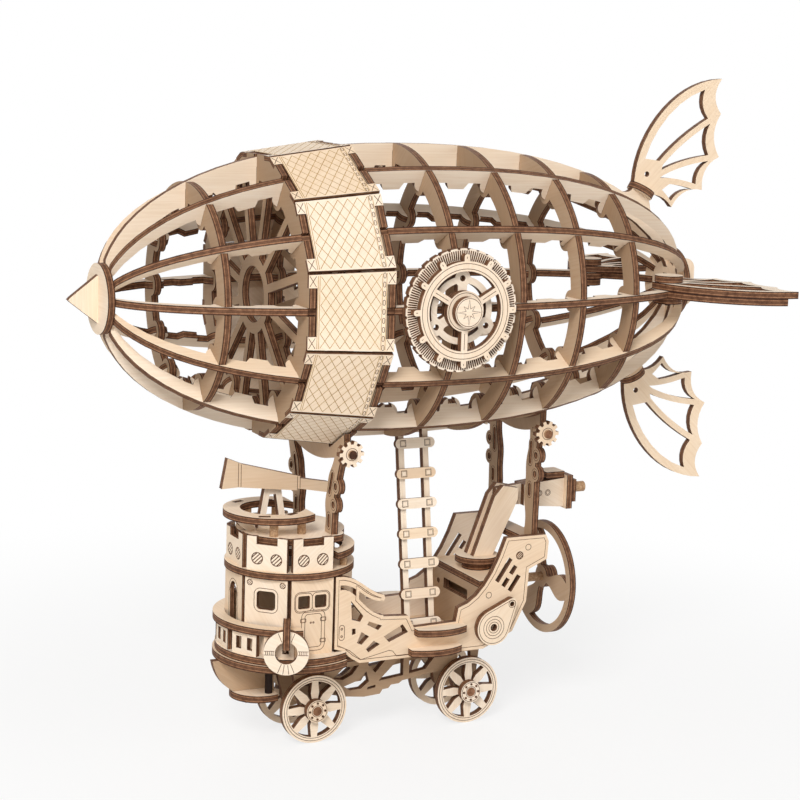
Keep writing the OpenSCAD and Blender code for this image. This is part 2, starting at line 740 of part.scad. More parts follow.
module wall_2d(a) let(w = (a == 135 || a == 225) ? wall_w - 4 : wall_w,
    c = a == 135 ? -1.9 : a == 225 ? 1.9 : 0)
  difference() {
    box_2d(c - w / 2, c + w / 2, 0, wall_h);
    wall_openings(a);
  }

module tower_walls() color(pale) place() for (a = wall_angles) at_tower(a)
  plate_yz(-side_y, thin) translate([0, walk_z]) wall_2d(a);

module ring_deck() color(warm) place() translate([tower_x, 0, 0]) plate_xy(ring_z, ply)
  ring(ring_r, ring_r - 13);

module parapets() color(pale) place() for (a = [-90, -45, 0, 45, 90]) at_tower(a)
  plate_yz(-side_y, thin) translate([0, ring_top]) difference() {
    box_2d(-wall_w / 2 + 0.5, wall_w / 2 - 0.5, 0, parapet_h);
    box_2d(-4.6, 4.6, parapet_h - 3.2, parapet_h + 1);
  }

// The roof deck runs back under the front hanger and has rounded corners there
roof_end = front_hang_x + 7;
roof_half = side_in - 0.2;
roof_round = 6;

module roof_deck() color(warm) place() plate_xy(roof_z, ply) difference() {
  union() {
    translate([tower_x, 0]) circle(side_y - thin - fit);
    box_2d(tower_x, roof_end - roof_round, -roof_half, roof_half);
    box_2d(tower_x, roof_end, roof_round - roof_half, roof_half - roof_round);
    for (s = [-1, 1]) translate([roof_end - roof_round, s * (roof_half - roof_round)]) circle(roof_round);
  }
  for (m = [0, 1]) mirror([0, m])
    box_2d(front_hang_x - fit, front_hang_x + ply + fit, leg_y - 2 - fit, leg_y + 2 + fit);
}

// Short posts under the roof deck, under the nest ring and under the rear rail, and a nest bracket
module tower_posts() color(dark) place() {
  for (a = [45, 135, 225, 315]) at_tower(a) translate([17.5, 0, ring_top]) cylinder(h = roof_gap, r = 2.4);
  for (a = [62, 110, 250, 298]) translate([nest_x, 0, 0]) rotate([0, 0, a])
    translate([15.5, 0, roof_top]) cylinder(h = nest_gap, r = 1.8);
  for (a = [-48, 0, 48]) at_tower(a) translate([ring_r - 2.5, 0, ring_top]) cylinder(h = 4, r = 1.5);
  plate_xz(-ply / 2, ply) polygon([[tower_x - 20, roof_top], [tower_x - 16, roof_top],
    [tower_x - 19, nest_z], [nest_x - nest_r + 3, nest_z], [tower_x - 23, roof_top + 2.2]]);
}

module rear_rail() color(warm) place() translate([tower_x, 0, 0]) plate_xy(ring_top + 4, ply)
  intersection() {
    ring(ring_r, ring_r - 5);
    box_2d(11, 40, -40, 40);
  }

module nest_ring() color(warm) place() translate([nest_x, 0, 0]) plate_xy(nest_z, ply) difference() {
  ring(nest_r, nest_hole_r);
  box_2d(12, 40, -40, 40);
}

module telescope_stand() color(pale) place() plate_xz(0, ply) translate([tele_x, roof_top])
  difference() {
    union() {
      polygon([[-6.5, 0], [6.5, 0], [3, tele_h], [-3, tele_h]]);
      translate([0, tele_h]) circle(3);
    }
    polygon([[-3.2, 3], [3.2, 3], [1.4, tele_h - 6.5], [-1.4, tele_h - 6.5]]);
    translate([0, tele_h]) circle(tele_pin_r + run);
  }

// Telescope as a flat plate with its pivot pin
module telescope() color(pale) place() {
  plate_xz(-ply - fit, ply) translate([tele_x, tele_z]) rotate(-tele_tilt) mirror([1, 0])
    polygon([[23, -6.4], [23, 6.4], [16, 4.9], [-10.5, 3], [-10.5, 2.2], [-24, 2.2], [-24, -2.2],
      [-10.5, -2.2], [-10.5, -3], [16, -4.8]]);
  rod_y(tele_x, tele_z, -ply, ply, tele_pin_r);
}

// Side plates of the car, with a free S-shaped handrail, web windows and slanted vents
function rail_top(t) = bez3([side_x0, 73.7], [-22, 74.4], [-18.5, 66], [-10.5, 64.2], t);

function slot_top(t) = bez3([-30.5, 70], [-22.5, 70.6], [-20, 61.5], [-9, 61.3], t);

function slot_foot(t) = bez3([-30.5, 68], [-23.5, 69.5], [-19, 55.6], [-9, 55.2], t);

module rail_slot(t0, t1) polygon(concat(
  [for (i = [0:6]) slot_foot(t0 + (t1 - t0) * i / 6)],
  [for (i = [6:-1:0]) slot_top(t0 + (t1 - t0) * i / 6)]));

web_windows = [
  [[-25.5, 63], [-25, 54.9], [-21.2, 53.7], [-19.8, 56.1]],
  [[-17.9, 52.1], [-12.8, 49.3], [-11.1, 51.1], [-17.1, 53.5]],
  [[-10.1, 46.3], [-7.6, 43.6], [1.1, 47.1], [-1.4, 50.7]],
  [[-24.9, 51.1], [-24.7, 48.4], [-23.1, 48.8], [-23.2, 51]],
  [[-22.4, 44.8], [-20.3, 43.8], [-16.9, 47], [-20.4, 49.3]],
  [[-18.2, 41.7], [-17, 40.2], [-11.8, 43.2], [-14.8, 44.9]]];

// Vents as [station, height, length]
vents = [[45.9, 69.8, 11.5], [50.5, 69.5, 4], [47, 64.3, 4], [51.2, 63.6, 7.8]];

module side_2d() difference() {
  polygon(concat(
    [for (i = [0:8]) rail_top(i / 8)],
    [[-9.8, 62.7], [-10.6, 61.5], [-10.6, 55], [1, 54.2], [3.8, deck_z + 9.8], [23.6, deck_z + 10.3],
      [24.7, 55.2]],
    [for (i = [1:6]) bez2([24.7, 55.2], [38, 58], [46.8, 83.8], i / 6)],
    [[66, 83.8], [67.5, 80.7], [67, 73], [58.3, 69.2], [57.5, 55.1], [51.2, 42.4], [37.3, floor_z],
      [-21, floor_z], [-25, 38.5], [-29, 42], [side_x0, 43.1]]));
  rail_slot(0, 0.36);
  rail_slot(0.44, 1.1);
  for (w = web_windows) polygon(w);
  for (v = vents) translate([v[0], v[1]]) rotate(56) square([v[2], 2.1], center = true);
}

module side_plates() color(pale) place() both_sides() plate_xz(-side_y, ply) side_2d();

// Curved steps on both sides of the car
module step_2d(x0, x1) intersection() {
  box_2d(x0, x1, -side_y - 8, -side_y);
  translate([(x0 + x1) / 2, -side_y + 15]) circle(22);
}

module steps() color(warm) place() both_sides() {
  plate_xy(deck_z + 6.5, ply) step_2d(4, 27);
  plate_xy(floor_z + 1, ply) step_2d(1.5, 25);
}

module stern_covers() color(pale) place() both_sides() plate_xz(-side_y - ply, ply) difference() {
  hull() {
    translate([40.5, 45.8]) circle(7.8, $fn = 48);
    translate([49, 55.4]) circle(2.5, $fn = 32);
  }
  translate([40.5, 45.8]) circle(1.6);
  translate([49, 55.4]) circle(1.1);
}

// Stern: turret deck on its bulkheads, shaft frame, transom and the bridge under the rear hanger
module turret_deck() color(warm) place() plate_xy(turret_z, ply) difference() {
  box_2d(36, 54 - fit, -side_in, side_in);
  translate([turret_x, 0]) circle(axle_r + run);
}

module bulkheads() color(pale) place() {
  plate_yz(36, ply) difference() {
    box_2d(-side_in, side_in, deck_z, turret_z);
    box_2d(-11, 11, turret_z - 8, turret_z - 3.5);
    for (s = [-16, 16]) translate([s, turret_z - 6]) circle(1.2);
  }
  plate_yz(44, ply) difference() {
    box_2d(-side_in, side_in, deck_z + 4, turret_z);
    translate([0, prop_z]) circle(axle_r + run);
  }
  plate_yz(54, ply) difference() {
    box_2d(-side_in, side_in, deck_z + 12, turret_top + 2.5);
    translate([0, prop_z]) circle(axle_r + run);
  }
  plate_xy(bridge_z, ply) difference() {
    box_2d(58.5, rear_hang_x + ply + 2.4, -side_in, side_in);
    for (m = [0, 1]) mirror([0, m])
      box_2d(rear_hang_x - fit, rear_hang_x + ply + fit, leg_y - 2 - fit, leg_y + 2 + fit);
  }
}

// Turret: two discs on a stub that turns in the turret deck, and two leaning cheeks
module turret() color(warm) place() {
  translate([turret_x, 0, turret_z]) cylinder(h = ply + 0.3, r = axle_r);
  translate([turret_x, 0, turret_top + fit]) cylinder(h = ply, r = 6.4);
  translate([turret_x, 0, turret_top + ply + fit + glue]) cylinder(h = ply - glue, r = turret_r);
  both_sides() plate_xz(-1.5 * ply, ply) polygon([[turret_x - 4, gun_z0 + glue],
    [turret_x + 5.5, gun_z0 + glue],
    [63, gun_z0 + 24], [63, gun_z0 + 29], [55.5, gun_z0 + 30.5], [51.5, gun_z0 + 26]]);
}

gun_z0 = turret_top + 2 * ply + fit;

// Gun: body plate between two side plates, end flanges, muzzle and top bar
module gun() color(pale) place() {
  plate_xz(-ply / 2, ply)
    polygon([[53.5, gun_z0 + 22], [86, gun_z0 + 19], [86, gun_z0 + 32], [53.5, gun_z0 + 29]]);
  both_sides() plate_xz(-1.5 * ply, ply - glue)
    polygon([[66, gun_z0 + 20.9], [86, gun_z0 + 19], [86, gun_z0 + 32], [66, gun_z0 + 30.2]]);
  plate_yz(86 + glue, ply - glue) translate([0, gun_z0 + 26]) square([14, 15], center = true);
  plate_yz(86 + ply + glue, ply - glue) translate([0, gun_z0 + 26]) square([10, 10], center = true);
  rod_x(86 + 2 * ply + glue, 98.5, 0, gun_z0 + 26.5, 2.3);
  plate_xy(gun_z0 + 32 + glue, ply) box_2d(77, 86, -1.5 * ply, 1.5 * ply);
}

// Propeller with three leaf blades in a ring, on its shaft
function leaf(r) = 1.7 + 4 * pow(sin(180 * max(0, r - 5) / (prop_r - 3)), 2);

module propeller() color(pale) place() {
  plate_yz(prop_x, ply) translate([0, prop_z]) difference() {
    union() {
      ring(prop_r, prop_r - prop_rim);
      circle(5);
      for (a = [185, 305, 65]) rotate(a) polygon(concat(
        [for (i = [0:12]) let(r = 3 + (prop_r - 4) * i / 12) [r, leaf(r)]],
        [for (i = [12:-1:0]) let(r = 3 + (prop_r - 4) * i / 12) [r, -leaf(r)]]));
    }
    circle(axle_r + snug);
  }
  plate_yz(prop_x + ply + glue, ply - glue) translate([0, prop_z]) ring(4.5, axle_r + snug);
}

module prop_shaft() color(dark) place() rod_x(43, prop_x + 2 * ply, 0, prop_z, axle_r);

// Running gear
module truss_plates() color(pale) place() both_sides() plate_xz(-truss_y - ply, ply) difference() {
  union() {
    polygon([[-axle_x - 10, floor_z], [-axle_x - 5, wheel_r], [-axle_x + 5, wheel_r], [-28, 19], [-22, 17.4],
      [-12, 16.1], [-4.4, 16.6], [-3.2, 18.4], [-0.5, 18.6], [0.8, 20], [4.5, 20.2], [6, 21.3], [21, 23.3],
      [29, 24], [axle_x - 5, wheel_r], [axle_x + 5, wheel_r], [axle_x + 7, floor_z]]);
    for (s = [-1, 1]) translate([s * axle_x, wheel_r]) circle(5.2);
  }
  for (s = [-1, 1]) translate([s * axle_x, wheel_r]) circle(axle_r + run);
  polygon([[-26.5, 25.6], [-22, 24.6], [-17.5, 26.6], [-14.6, 30.4], [-21.5, 30]]);
  polygon([[-21.5, 21.6], [-18.5, 19.7], [-13.4, 19.9], [-9.7, 22.7], [-11, 27.2], [-15, 23.6]]);
  polygon([[-10.4, 30], [-6.8, 26.2], [-1.5, 32], [-9.5, 32]]);
  polygon([[-10.6, 19.1], [-6.6, 19.7], [-6.6, 20.8], [-10.2, 20.2]]);
  polygon([[-5.2, 22.4], [6.4, 23.6], [6.4, 31], [4, 31]]);
  polygon([[9.2, 24], [17, 25.2], [22, 31], [9.2, 31]]);
  polygon([[-axle_x - 4, 24], [-axle_x + 4, 24], [-30, 31], [-axle_x - 5, 31]]);
  polygon([[axle_x - 4, 24], [axle_x + 3, 24], [axle_x + 2.5, 31], [axle_x - 4, 31]]);
}

bow_lap_x = tower_x - 17;
shelf_x = -axle_x - wheel_r - 5.2;

module bow_keel() color(pale) place() plate_xz(-ply / 2, ply) difference() {
  polygon(concat([[tower_x - 7, floor_z]],
    [for (i = [0:8]) bez2([tower_x - 34, floor_z], [tower_x - 32, 25], [tower_x - 21.5, 20.5], i / 8)],
    [[tower_x - 19, 16.4], [tower_x - 9.5, 15.6], [tower_x - 6, 18]]));
  box_2d(tower_x - 40, bow_lap_x, 19 - fit, 19 + ply + fit);
}

module shelf_2d(r) difference() {
  intersection() {
    translate([shelf_x, 0]) circle(r);
    box_2d(shelf_x - 20, shelf_x + 4.6, -20, 20);
  }
  box_2d(bow_lap_x, 0, -slot / 2, slot / 2);
}

// Bow shelf hooked on the bow keel, with a post up to the floor on each side
module bow_shelf() color(warm) place() {
  plate_xy(19, ply) shelf_2d(12);
  both_sides() translate([shelf_x + 1.5, -8, 21]) cylinder(h = floor_z - 21 - glue, r = 1.6);
}

module axle(x) rod_y(x, wheel_r, -wheel_y - 2 * ply, wheel_y + 2 * ply, axle_r);

module wheel_2d() difference() {
  union() {
    ring(wheel_r, wheel_r - 2.6);
    circle(hub_r);
    for (i = [0:7]) rotate(45 * i)
      polygon([[3, -1], [7, -1.9], [wheel_r - 2, -1.3], [wheel_r - 2, 1.3], [7, 1.9], [3, 1]]);
  }
  circle(axle_r + snug);
}

module wheels(x) both_sides() {
  plate_xz(-wheel_y - ply, ply) translate([x, wheel_r]) wheel_2d();
  plate_xz(-wheel_y - 2 * ply, ply - glue) translate([x, wheel_r]) ring(hub_r, axle_r + snug);
}

module front_axle() color(dark) place() axle(-axle_x);

module front_wheels() color(pale) place() wheels(-axle_x);

module rear_axle() color(dark) place() axle(axle_x);

module rear_wheels() color(pale) place() wheels(axle_x);

nose_tip();
nose_disc();
top_keel();
bottom_keel();
side_stringers();
upper_stringers();
lower_stringers();
rib_1();
rib_2();
rib_3();
rib_4();
rib_5();
rib_6();
rib_7();
tail_disc();
tail_key();
band_panels();
emblem_backs();
pivot_pins();
strut_gears();
upright_fins();
side_fins();
fin_collars();
fin_bolts();
front_hanger();
rear_hanger();
ladder_rails();
ladder_rungs();
floor_plate();
walk_plate();
bow_panels();
bow_rail();
life_ring();
tower_walls();
ring_deck();
parapets();
roof_deck();
tower_posts();
rear_rail();
nest_ring();
telescope_stand();
telescope();
side_plates();
steps();
stern_covers();
turret_deck();
bulkheads();
truss_plates();
bow_keel();
bow_shelf();
helm_left();
helm_right();
turret();
gun();
propeller();
prop_shaft();
front_axle();
front_wheels();
rear_axle();
rear_wheels();
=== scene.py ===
# %% [markdown]
# # A plywood airship, dressed in Blender
# The model is a kit of laser-cut sheets: an open hull of ribs and stringers over a small wheeled
# boat. The CAD frame already holds every sheet at its true place. This lesson gives the sheets what
# a laser cutter leaves on them: a pale sanded face, a burnt striped edge, a soft brown halo along
# each cut, and fine scorched drawing on the faces. Lengths are metres, and millimetres where a name
# ends in _MM and on the pages that drawings are made on.

# %% Load the frame
import json
import math
import random

import bmesh
import bpy
from mathutils import Matrix, Vector


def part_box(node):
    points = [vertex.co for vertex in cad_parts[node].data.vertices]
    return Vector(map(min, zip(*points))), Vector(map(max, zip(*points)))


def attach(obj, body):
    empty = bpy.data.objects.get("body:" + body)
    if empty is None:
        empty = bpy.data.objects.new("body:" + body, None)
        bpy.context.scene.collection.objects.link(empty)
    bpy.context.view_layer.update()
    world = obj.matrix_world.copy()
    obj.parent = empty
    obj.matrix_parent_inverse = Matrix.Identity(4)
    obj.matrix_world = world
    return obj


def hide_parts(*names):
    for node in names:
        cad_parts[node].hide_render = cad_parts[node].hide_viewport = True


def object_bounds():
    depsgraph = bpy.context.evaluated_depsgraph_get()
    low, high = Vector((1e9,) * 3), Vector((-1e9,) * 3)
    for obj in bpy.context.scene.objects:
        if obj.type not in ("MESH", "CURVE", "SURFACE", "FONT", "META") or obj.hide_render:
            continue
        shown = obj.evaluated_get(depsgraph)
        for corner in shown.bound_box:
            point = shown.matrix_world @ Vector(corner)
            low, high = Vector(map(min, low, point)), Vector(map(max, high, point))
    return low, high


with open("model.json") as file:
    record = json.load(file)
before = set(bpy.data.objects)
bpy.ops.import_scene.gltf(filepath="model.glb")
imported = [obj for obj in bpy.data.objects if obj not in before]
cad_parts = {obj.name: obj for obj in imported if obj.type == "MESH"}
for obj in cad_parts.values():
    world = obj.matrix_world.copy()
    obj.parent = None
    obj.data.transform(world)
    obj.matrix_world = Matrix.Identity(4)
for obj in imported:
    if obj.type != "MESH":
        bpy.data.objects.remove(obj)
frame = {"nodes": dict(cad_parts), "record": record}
cad_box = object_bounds()
MM = 0.001
TINY = 1e-9

# %% [markdown]
# ## Colours and nodes
# Colours are written as sRGB hex, the way a paint chart gives them, and Blender wants linear light,
# so one function converts them. A second function adds a node to any tree: settings come as
# keywords, inputs as a dictionary where a socket is linked and a plain value is typed in, and a
# colour ramp also gets its stops. The third makes an empty material to fill.

# %% Helpers for colours and nodes
def linear(hex_colour):
    channels = [int(hex_colour[i:i + 2], 16) / 255 for i in (1, 3, 5)]
    return tuple(c / 12.92 if c < 0.04045 else ((c + 0.055) / 1.055) ** 2.4 for c in channels) + (1.0,)


def add(tree, kind, inputs=None, stops=(), **settings):
    node = tree.nodes.new(kind)
    for name, value in settings.items():
        setattr(node, name, value)
    for name, value in (inputs or {}).items():
        if isinstance(value, bpy.types.NodeSocket):
            tree.links.new(value, node.inputs[name])
        else:
            node.inputs[name].default_value = value
    if stops:
        elements = node.color_ramp.elements
        while len(elements) < len(stops):
            elements.new(0.5)
        for element, (place, colour) in zip(elements, stops):
            element.position = place
            element.color = linear(colour)
    return node


def new_material(name):
    material = bpy.data.materials.new(name)
    material.use_nodes = True
    tree = material.node_tree
    tree.nodes.clear()
    return material, tree


print("white in linear light", linear("#FFFFFF"))

# %% [markdown]
# ## Basswood faces
# The sheet is basswood plywood: a cream face with quiet straight grain, sanded and left bare. A
# photo texture would give the grain, but a stretched noise does it without a file. The pattern
# reads the piece's own UV map, which later cells lay along each sheet's length in millimetres. The
# attribute scorch is 1 at a cut edge and fades inwards: it tints the face as the laser's heat does.
# The attribute tone: below one half the sheet's own random tone of wood, above it painted shade.

# %% Face material
GRAIN_LENGTH_MM = 26
GRAIN_WIDTH_MM = 0.9
GRAIN_RELIEF_MM = 0.06
CLOUD_LENGTH_MM = 45
CLOUD_WIDTH_MM = 11.25
HEAT_CURVE = 1.3
HEAT_SHARE = 0.85


def basswood_face():
    material, tree = new_material("basswood_ply_sanded_face")
    uv = add(tree, "ShaderNodeUVMap", uv_map="grain").outputs["UV"]
    along = add(tree, "ShaderNodeMapping",
                {"Vector": uv, "Scale": (1 / GRAIN_LENGTH_MM, 1 / GRAIN_WIDTH_MM, 1)})
    streak = add(tree, "ShaderNodeTexNoise",
                 {"Vector": along.outputs["Vector"], "Scale": 1.0, "Detail": 5.0, "Roughness": 0.62})
    broad = add(tree, "ShaderNodeMapping",
                {"Vector": uv, "Scale": (1 / CLOUD_LENGTH_MM, 1 / CLOUD_WIDTH_MM, 1)})
    cloud = add(tree, "ShaderNodeTexNoise",
                {"Vector": broad.outputs["Vector"], "Scale": 1.0, "Detail": 2.0})
    tone = add(tree, "ShaderNodeAttribute", attribute_name="tone")
    scorch = add(tree, "ShaderNodeAttribute", attribute_name="scorch")
    grain = add(tree, "ShaderNodeValToRGB", {"Fac": streak.outputs["Fac"]},
                [(0.3, "#E6D1B8"), (0.5, "#F0DFCA"), (0.7, "#F6E9D8")])
    patch = add(tree, "ShaderNodeValToRGB", {"Fac": cloud.outputs["Fac"]},
                [(0.3, "#EBD6BC"), (0.7, "#F7EADA")])
    mixed = add(tree, "ShaderNodeMix",
                {"Factor": 0.35, "A": grain.outputs["Color"], "B": patch.outputs["Color"]},
                data_type="RGBA")
    # Tone above one half darkens the face towards grey brown: painted shade for sheets that sit in shade.
    shade = add(tree, "ShaderNodeValToRGB", {"Fac": tone.outputs["Fac"]},
                [(0.0, "#F4E6D6"), (0.25, "#FFFFFF"), (0.5, "#FBF1E4"), (0.51, "#CCBBAA"),
                 (1.0, "#AF9C89")])
    toned = add(tree, "ShaderNodeMix",
                {"Factor": 1.0, "A": mixed.outputs["Result"], "B": shade.outputs["Color"]},
                data_type="RGBA", blend_type="MULTIPLY")
    heat = add(tree, "ShaderNodeMath", {0: scorch.outputs["Fac"], 1: HEAT_CURVE}, operation="POWER")
    share = add(tree, "ShaderNodeMath", {0: heat.outputs["Value"], 1: HEAT_SHARE}, operation="MULTIPLY")
    halo = add(tree, "ShaderNodeMix",
               {"Factor": share.outputs["Value"], "A": toned.outputs["Result"], "B": linear("#8C6036")},
               data_type="RGBA")
    relief = add(tree, "ShaderNodeBump",
                 {"Height": streak.outputs["Fac"], "Strength": 0.25, "Distance": GRAIN_RELIEF_MM * MM})
    rough = add(tree, "ShaderNodeMapRange",
                {"Value": streak.outputs["Fac"], "To Min": 0.58, "To Max": 0.72})
    shader = add(tree, "ShaderNodeBsdfPrincipled",
                 {"Base Color": halo.outputs["Result"], "Roughness": rough.outputs["Result"],
                  "Normal": relief.outputs["Normal"], "Specular IOR Level": 0.3})
    add(tree, "ShaderNodeOutputMaterial", {"Surface": shader.outputs["BSDF"]})
    return material


FACE = basswood_face()
print("material", FACE.name)

# %% [markdown]
# ## Burnt edges
# Across its thickness the sheet shows three plies with two thin glue lines, all browned by the
# laser. The attribute ply runs from 0 at one face to 1 at the other, so a colour ramp on it draws
# the stripes at the right place on every sheet. Soot is a soft noise of a few millimetres, and the
# laser's pulses leave a much finer one.

# %% Edge material
SOOT_MM = 2.2
PULSE_MM = 0.35
PULSE_RELIEF_MM = 0.05


def burnt_edge():
    material, tree = new_material("basswood_ply_burnt_edge")
    ply = add(tree, "ShaderNodeAttribute", attribute_name="ply")
    place = add(tree, "ShaderNodeTexCoord").outputs["Object"]
    soot = add(tree, "ShaderNodeTexNoise",
               {"Vector": place, "Scale": 1 / (SOOT_MM * MM), "Detail": 3.0})
    pulse = add(tree, "ShaderNodeTexNoise",
                {"Vector": place, "Scale": 1 / (PULSE_MM * MM), "Detail": 1.0})
    stripes = add(tree, "ShaderNodeValToRGB", {"Fac": ply.outputs["Fac"]},
                  [(0.0, "#27140A"), (0.1, "#4E301E"), (0.18, "#956B4E"), (0.3, "#AA7E5D"),
                   (0.345, "#3B2213"), (0.4, "#735039"), (0.6, "#735039"), (0.655, "#3B2213"),
                   (0.7, "#AA7E5D"), (0.82, "#956B4E"), (0.9, "#4E301E"), (1.0, "#27140A")])
    dirt = add(tree, "ShaderNodeValToRGB", {"Fac": soot.outputs["Fac"]},
               [(0.3, "#957A66"), (0.62, "#FFFFFF")])
    sooted = add(tree, "ShaderNodeMix",
                 {"Factor": 0.7, "A": stripes.outputs["Color"], "B": dirt.outputs["Color"]},
                 data_type="RGBA", blend_type="MULTIPLY")
    marks = add(tree, "ShaderNodeValToRGB", {"Fac": pulse.outputs["Fac"]},
                [(0.35, "#C8B4A6"), (0.6, "#FFFFFF")])
    marked = add(tree, "ShaderNodeMix",
                 {"Factor": 0.5, "A": sooted.outputs["Result"], "B": marks.outputs["Color"]},
                 data_type="RGBA", blend_type="MULTIPLY")
    relief = add(tree, "ShaderNodeBump",
                 {"Height": pulse.outputs["Fac"], "Strength": 0.3, "Distance": PULSE_RELIEF_MM * MM})
    shader = add(tree, "ShaderNodeBsdfPrincipled",
                 {"Base Color": marked.outputs["Result"], "Roughness": 0.7,
                  "Normal": relief.outputs["Normal"], "Specular IOR Level": 0.25})
    add(tree, "ShaderNodeOutputMaterial", {"Surface": shader.outputs["BSDF"]})
    return material


EDGE = burnt_edge()
print("material", EDGE.name)

# %% [markdown]
# ## Dowels and scorched lines
# Pins and axles are birch dowel, turned and left bare: a darker wood with short fibres and a dull
# sheen. A weak laser draws lines on the faces that are matt brown where it went slowly and golden
# where it only toasted the wood, so one function makes both from three colours.

# %% Dowel and line materials
FIBRE_RELIEF_MM = 0.05


def birch_dowel():
    material, tree = new_material("birch_dowel_turned")
    place = add(tree, "ShaderNodeTexCoord").outputs["Object"]
    fibre = add(tree, "ShaderNodeTexNoise",
                {"Vector": place, "Scale": 1 / (GRAIN_WIDTH_MM * MM), "Detail": 4.0, "Roughness": 0.6})
    wood = add(tree, "ShaderNodeValToRGB", {"Fac": fibre.outputs["Fac"]},
               [(0.3, "#8F6A4C"), (0.5, "#AE8B69"), (0.7, "#C6A684")])
    relief = add(tree, "ShaderNodeBump",
                 {"Height": fibre.outputs["Fac"], "Strength": 0.2, "Distance": FIBRE_RELIEF_MM * MM})
    shader = add(tree, "ShaderNodeBsdfPrincipled",
                 {"Base Color": wood.outputs["Color"], "Roughness": 0.6,
                  "Normal": relief.outputs["Normal"], "Specular IOR Level": 0.3})
    add(tree, "ShaderNodeOutputMaterial", {"Surface": shader.outputs["BSDF"]})
    return material


def scorched_line(name, dark, mid, light):
    material, tree = new_material(name)
    place = add(tree, "ShaderNodeTexCoord").outputs["Object"]
    heat = add(tree, "ShaderNodeTexNoise",
               {"Vector": place, "Scale": 1 / (SOOT_MM * MM), "Detail": 2.0})
    brown = add(tree, "ShaderNodeValToRGB", {"Fac": heat.outputs["Fac"]},
                [(0.3, dark), (0.55, mid), (0.75, light)])
    shader = add(tree, "ShaderNodeBsdfPrincipled",
                 {"Base Color": brown.outputs["Color"], "Roughness": 0.75, "Specular IOR Level": 0.2})
    add(tree, "ShaderNodeOutputMaterial", {"Surface": shader.outputs["BSDF"]})
    return material


DOWEL = birch_dowel()
LINE = scorched_line("laser_scorched_line", "#432918", "#5A3924", "#755033")
GOLD = scorched_line("laser_toasted_line", "#A07A42", "#B58F54", "#C7A46C")
print("materials", [m.name for m in (DOWEL, LINE, GOLD)])

# %% [markdown]
# ## Finding the solids
# A CAD node is a bag of loose triangles, so it must be sorted before it can be dressed. A copy is
# merged at its shared points and then walked from face to face, which parts it into its solids. The
# faces of each solid are put back in their own order, so every run gives the same result.

# %% Part a node into solids
MERGE = 1e-6


def merged_copy(node):
    mesh = bmesh.new()
    mesh.from_mesh(frame["nodes"][node].data)
    bmesh.ops.remove_doubles(mesh, verts=mesh.verts, dist=MERGE)
    bmesh.ops.dissolve_degenerate(mesh, edges=mesh.edges, dist=MERGE)
    mesh.faces.index_update()
    mesh.normal_update()
    return mesh


def solids_of(mesh):
    todo = set(mesh.faces)
    for first in mesh.faces:
        if first not in todo:
            continue
        todo.discard(first)
        group, front = set(), [first]
        while front:
            face = front.pop()
            group.add(face)
            near = {f for e in face.edges for f in e.link_faces} & todo
            todo -= near
            front.extend(near)
        yield sorted(group, key=lambda f: f.index)


ladder = merged_copy("ladder_rungs")
print("ladder rungs", len(list(solids_of(ladder))))
ladder.free()

# %% [markdown]
# ## Which way a sheet faces
# On each solid the direction that most of its area faces is the sheet's normal. A solid with no such
# direction is a round dowel. The ladder's bars are nearly square, so they are given a hint. A normal
# and its opposite count as one direction, so each is folded to the half that starts positive.

# %% Normal of a sheet
SHEET_SHARE = 0.3
HINT_SHARE = 0.1
FLAT = 0.985
SIGN_SLACK = 0.02
SIDEWAYS = Vector((0, 1, 0))
NORMAL_HINT = {"ladder_rails": SIDEWAYS, "ladder_rungs": SIDEWAYS}


def folded(normal):
    first = next((c for c in normal if abs(c) > SIGN_SLACK), 1.0)
    return normal if first > 0 else -normal


def sheet_normal(faces, hint=None):
    areas = {}
    for face in faces:
        key = tuple(round(c, 2) for c in folded(face.normal))
        areas[key] = areas.get(key, 0) + face.calc_area()
    total = sum(areas.values())
    if hint:
        wide = [k for k in areas if areas[k] > HINT_SHARE * total]
        return max((Vector(k).normalized() for k in wide), key=lambda n: abs(n.dot(hint)))
    best = max(areas, key=areas.get)
    if areas[best] < SHEET_SHARE * total:
        return None
    alike = [f for f in faces if folded(f.normal).dot(Vector(best)) > FLAT]
    return folded(max(alike, key=lambda f: f.calc_area()).normal).copy()


# %% [markdown]
# ## What a sheet knows
# A sheet keeps its two face levels, the outlines of both faces, and the longest direction in its
# plane, which the wood's grain follows. An outline is a ring of edges with the flat region on one
# side only, so it can be walked from point to point. The outer ring is the longest and comes first.

# %% Sheets and their outlines
LEVEL_SHARE = 0.15
HALF_TURN, TURN_STEP = 180, 5


def boundary(flat):
    inside = set(flat)
    after = {}
    for face in flat:
        for loop in face.loops:
            if not any(f in inside for f in loop.edge.link_faces if f is not face):
                after.setdefault(loop.vert, []).append(loop.link_loop_next.vert)
    rings = []
    while after:
        start = vert = next(iter(after))
        ring = []
        while vert in after:
            ring.append(vert.co.copy())
            following = after[vert].pop()
            if not after[vert]:
                del after[vert]
            vert = following
            if vert is start:
                break
        rings.append(ring)
    return sorted(rings, key=lambda r: -max((a - r[0]).length for a in r))


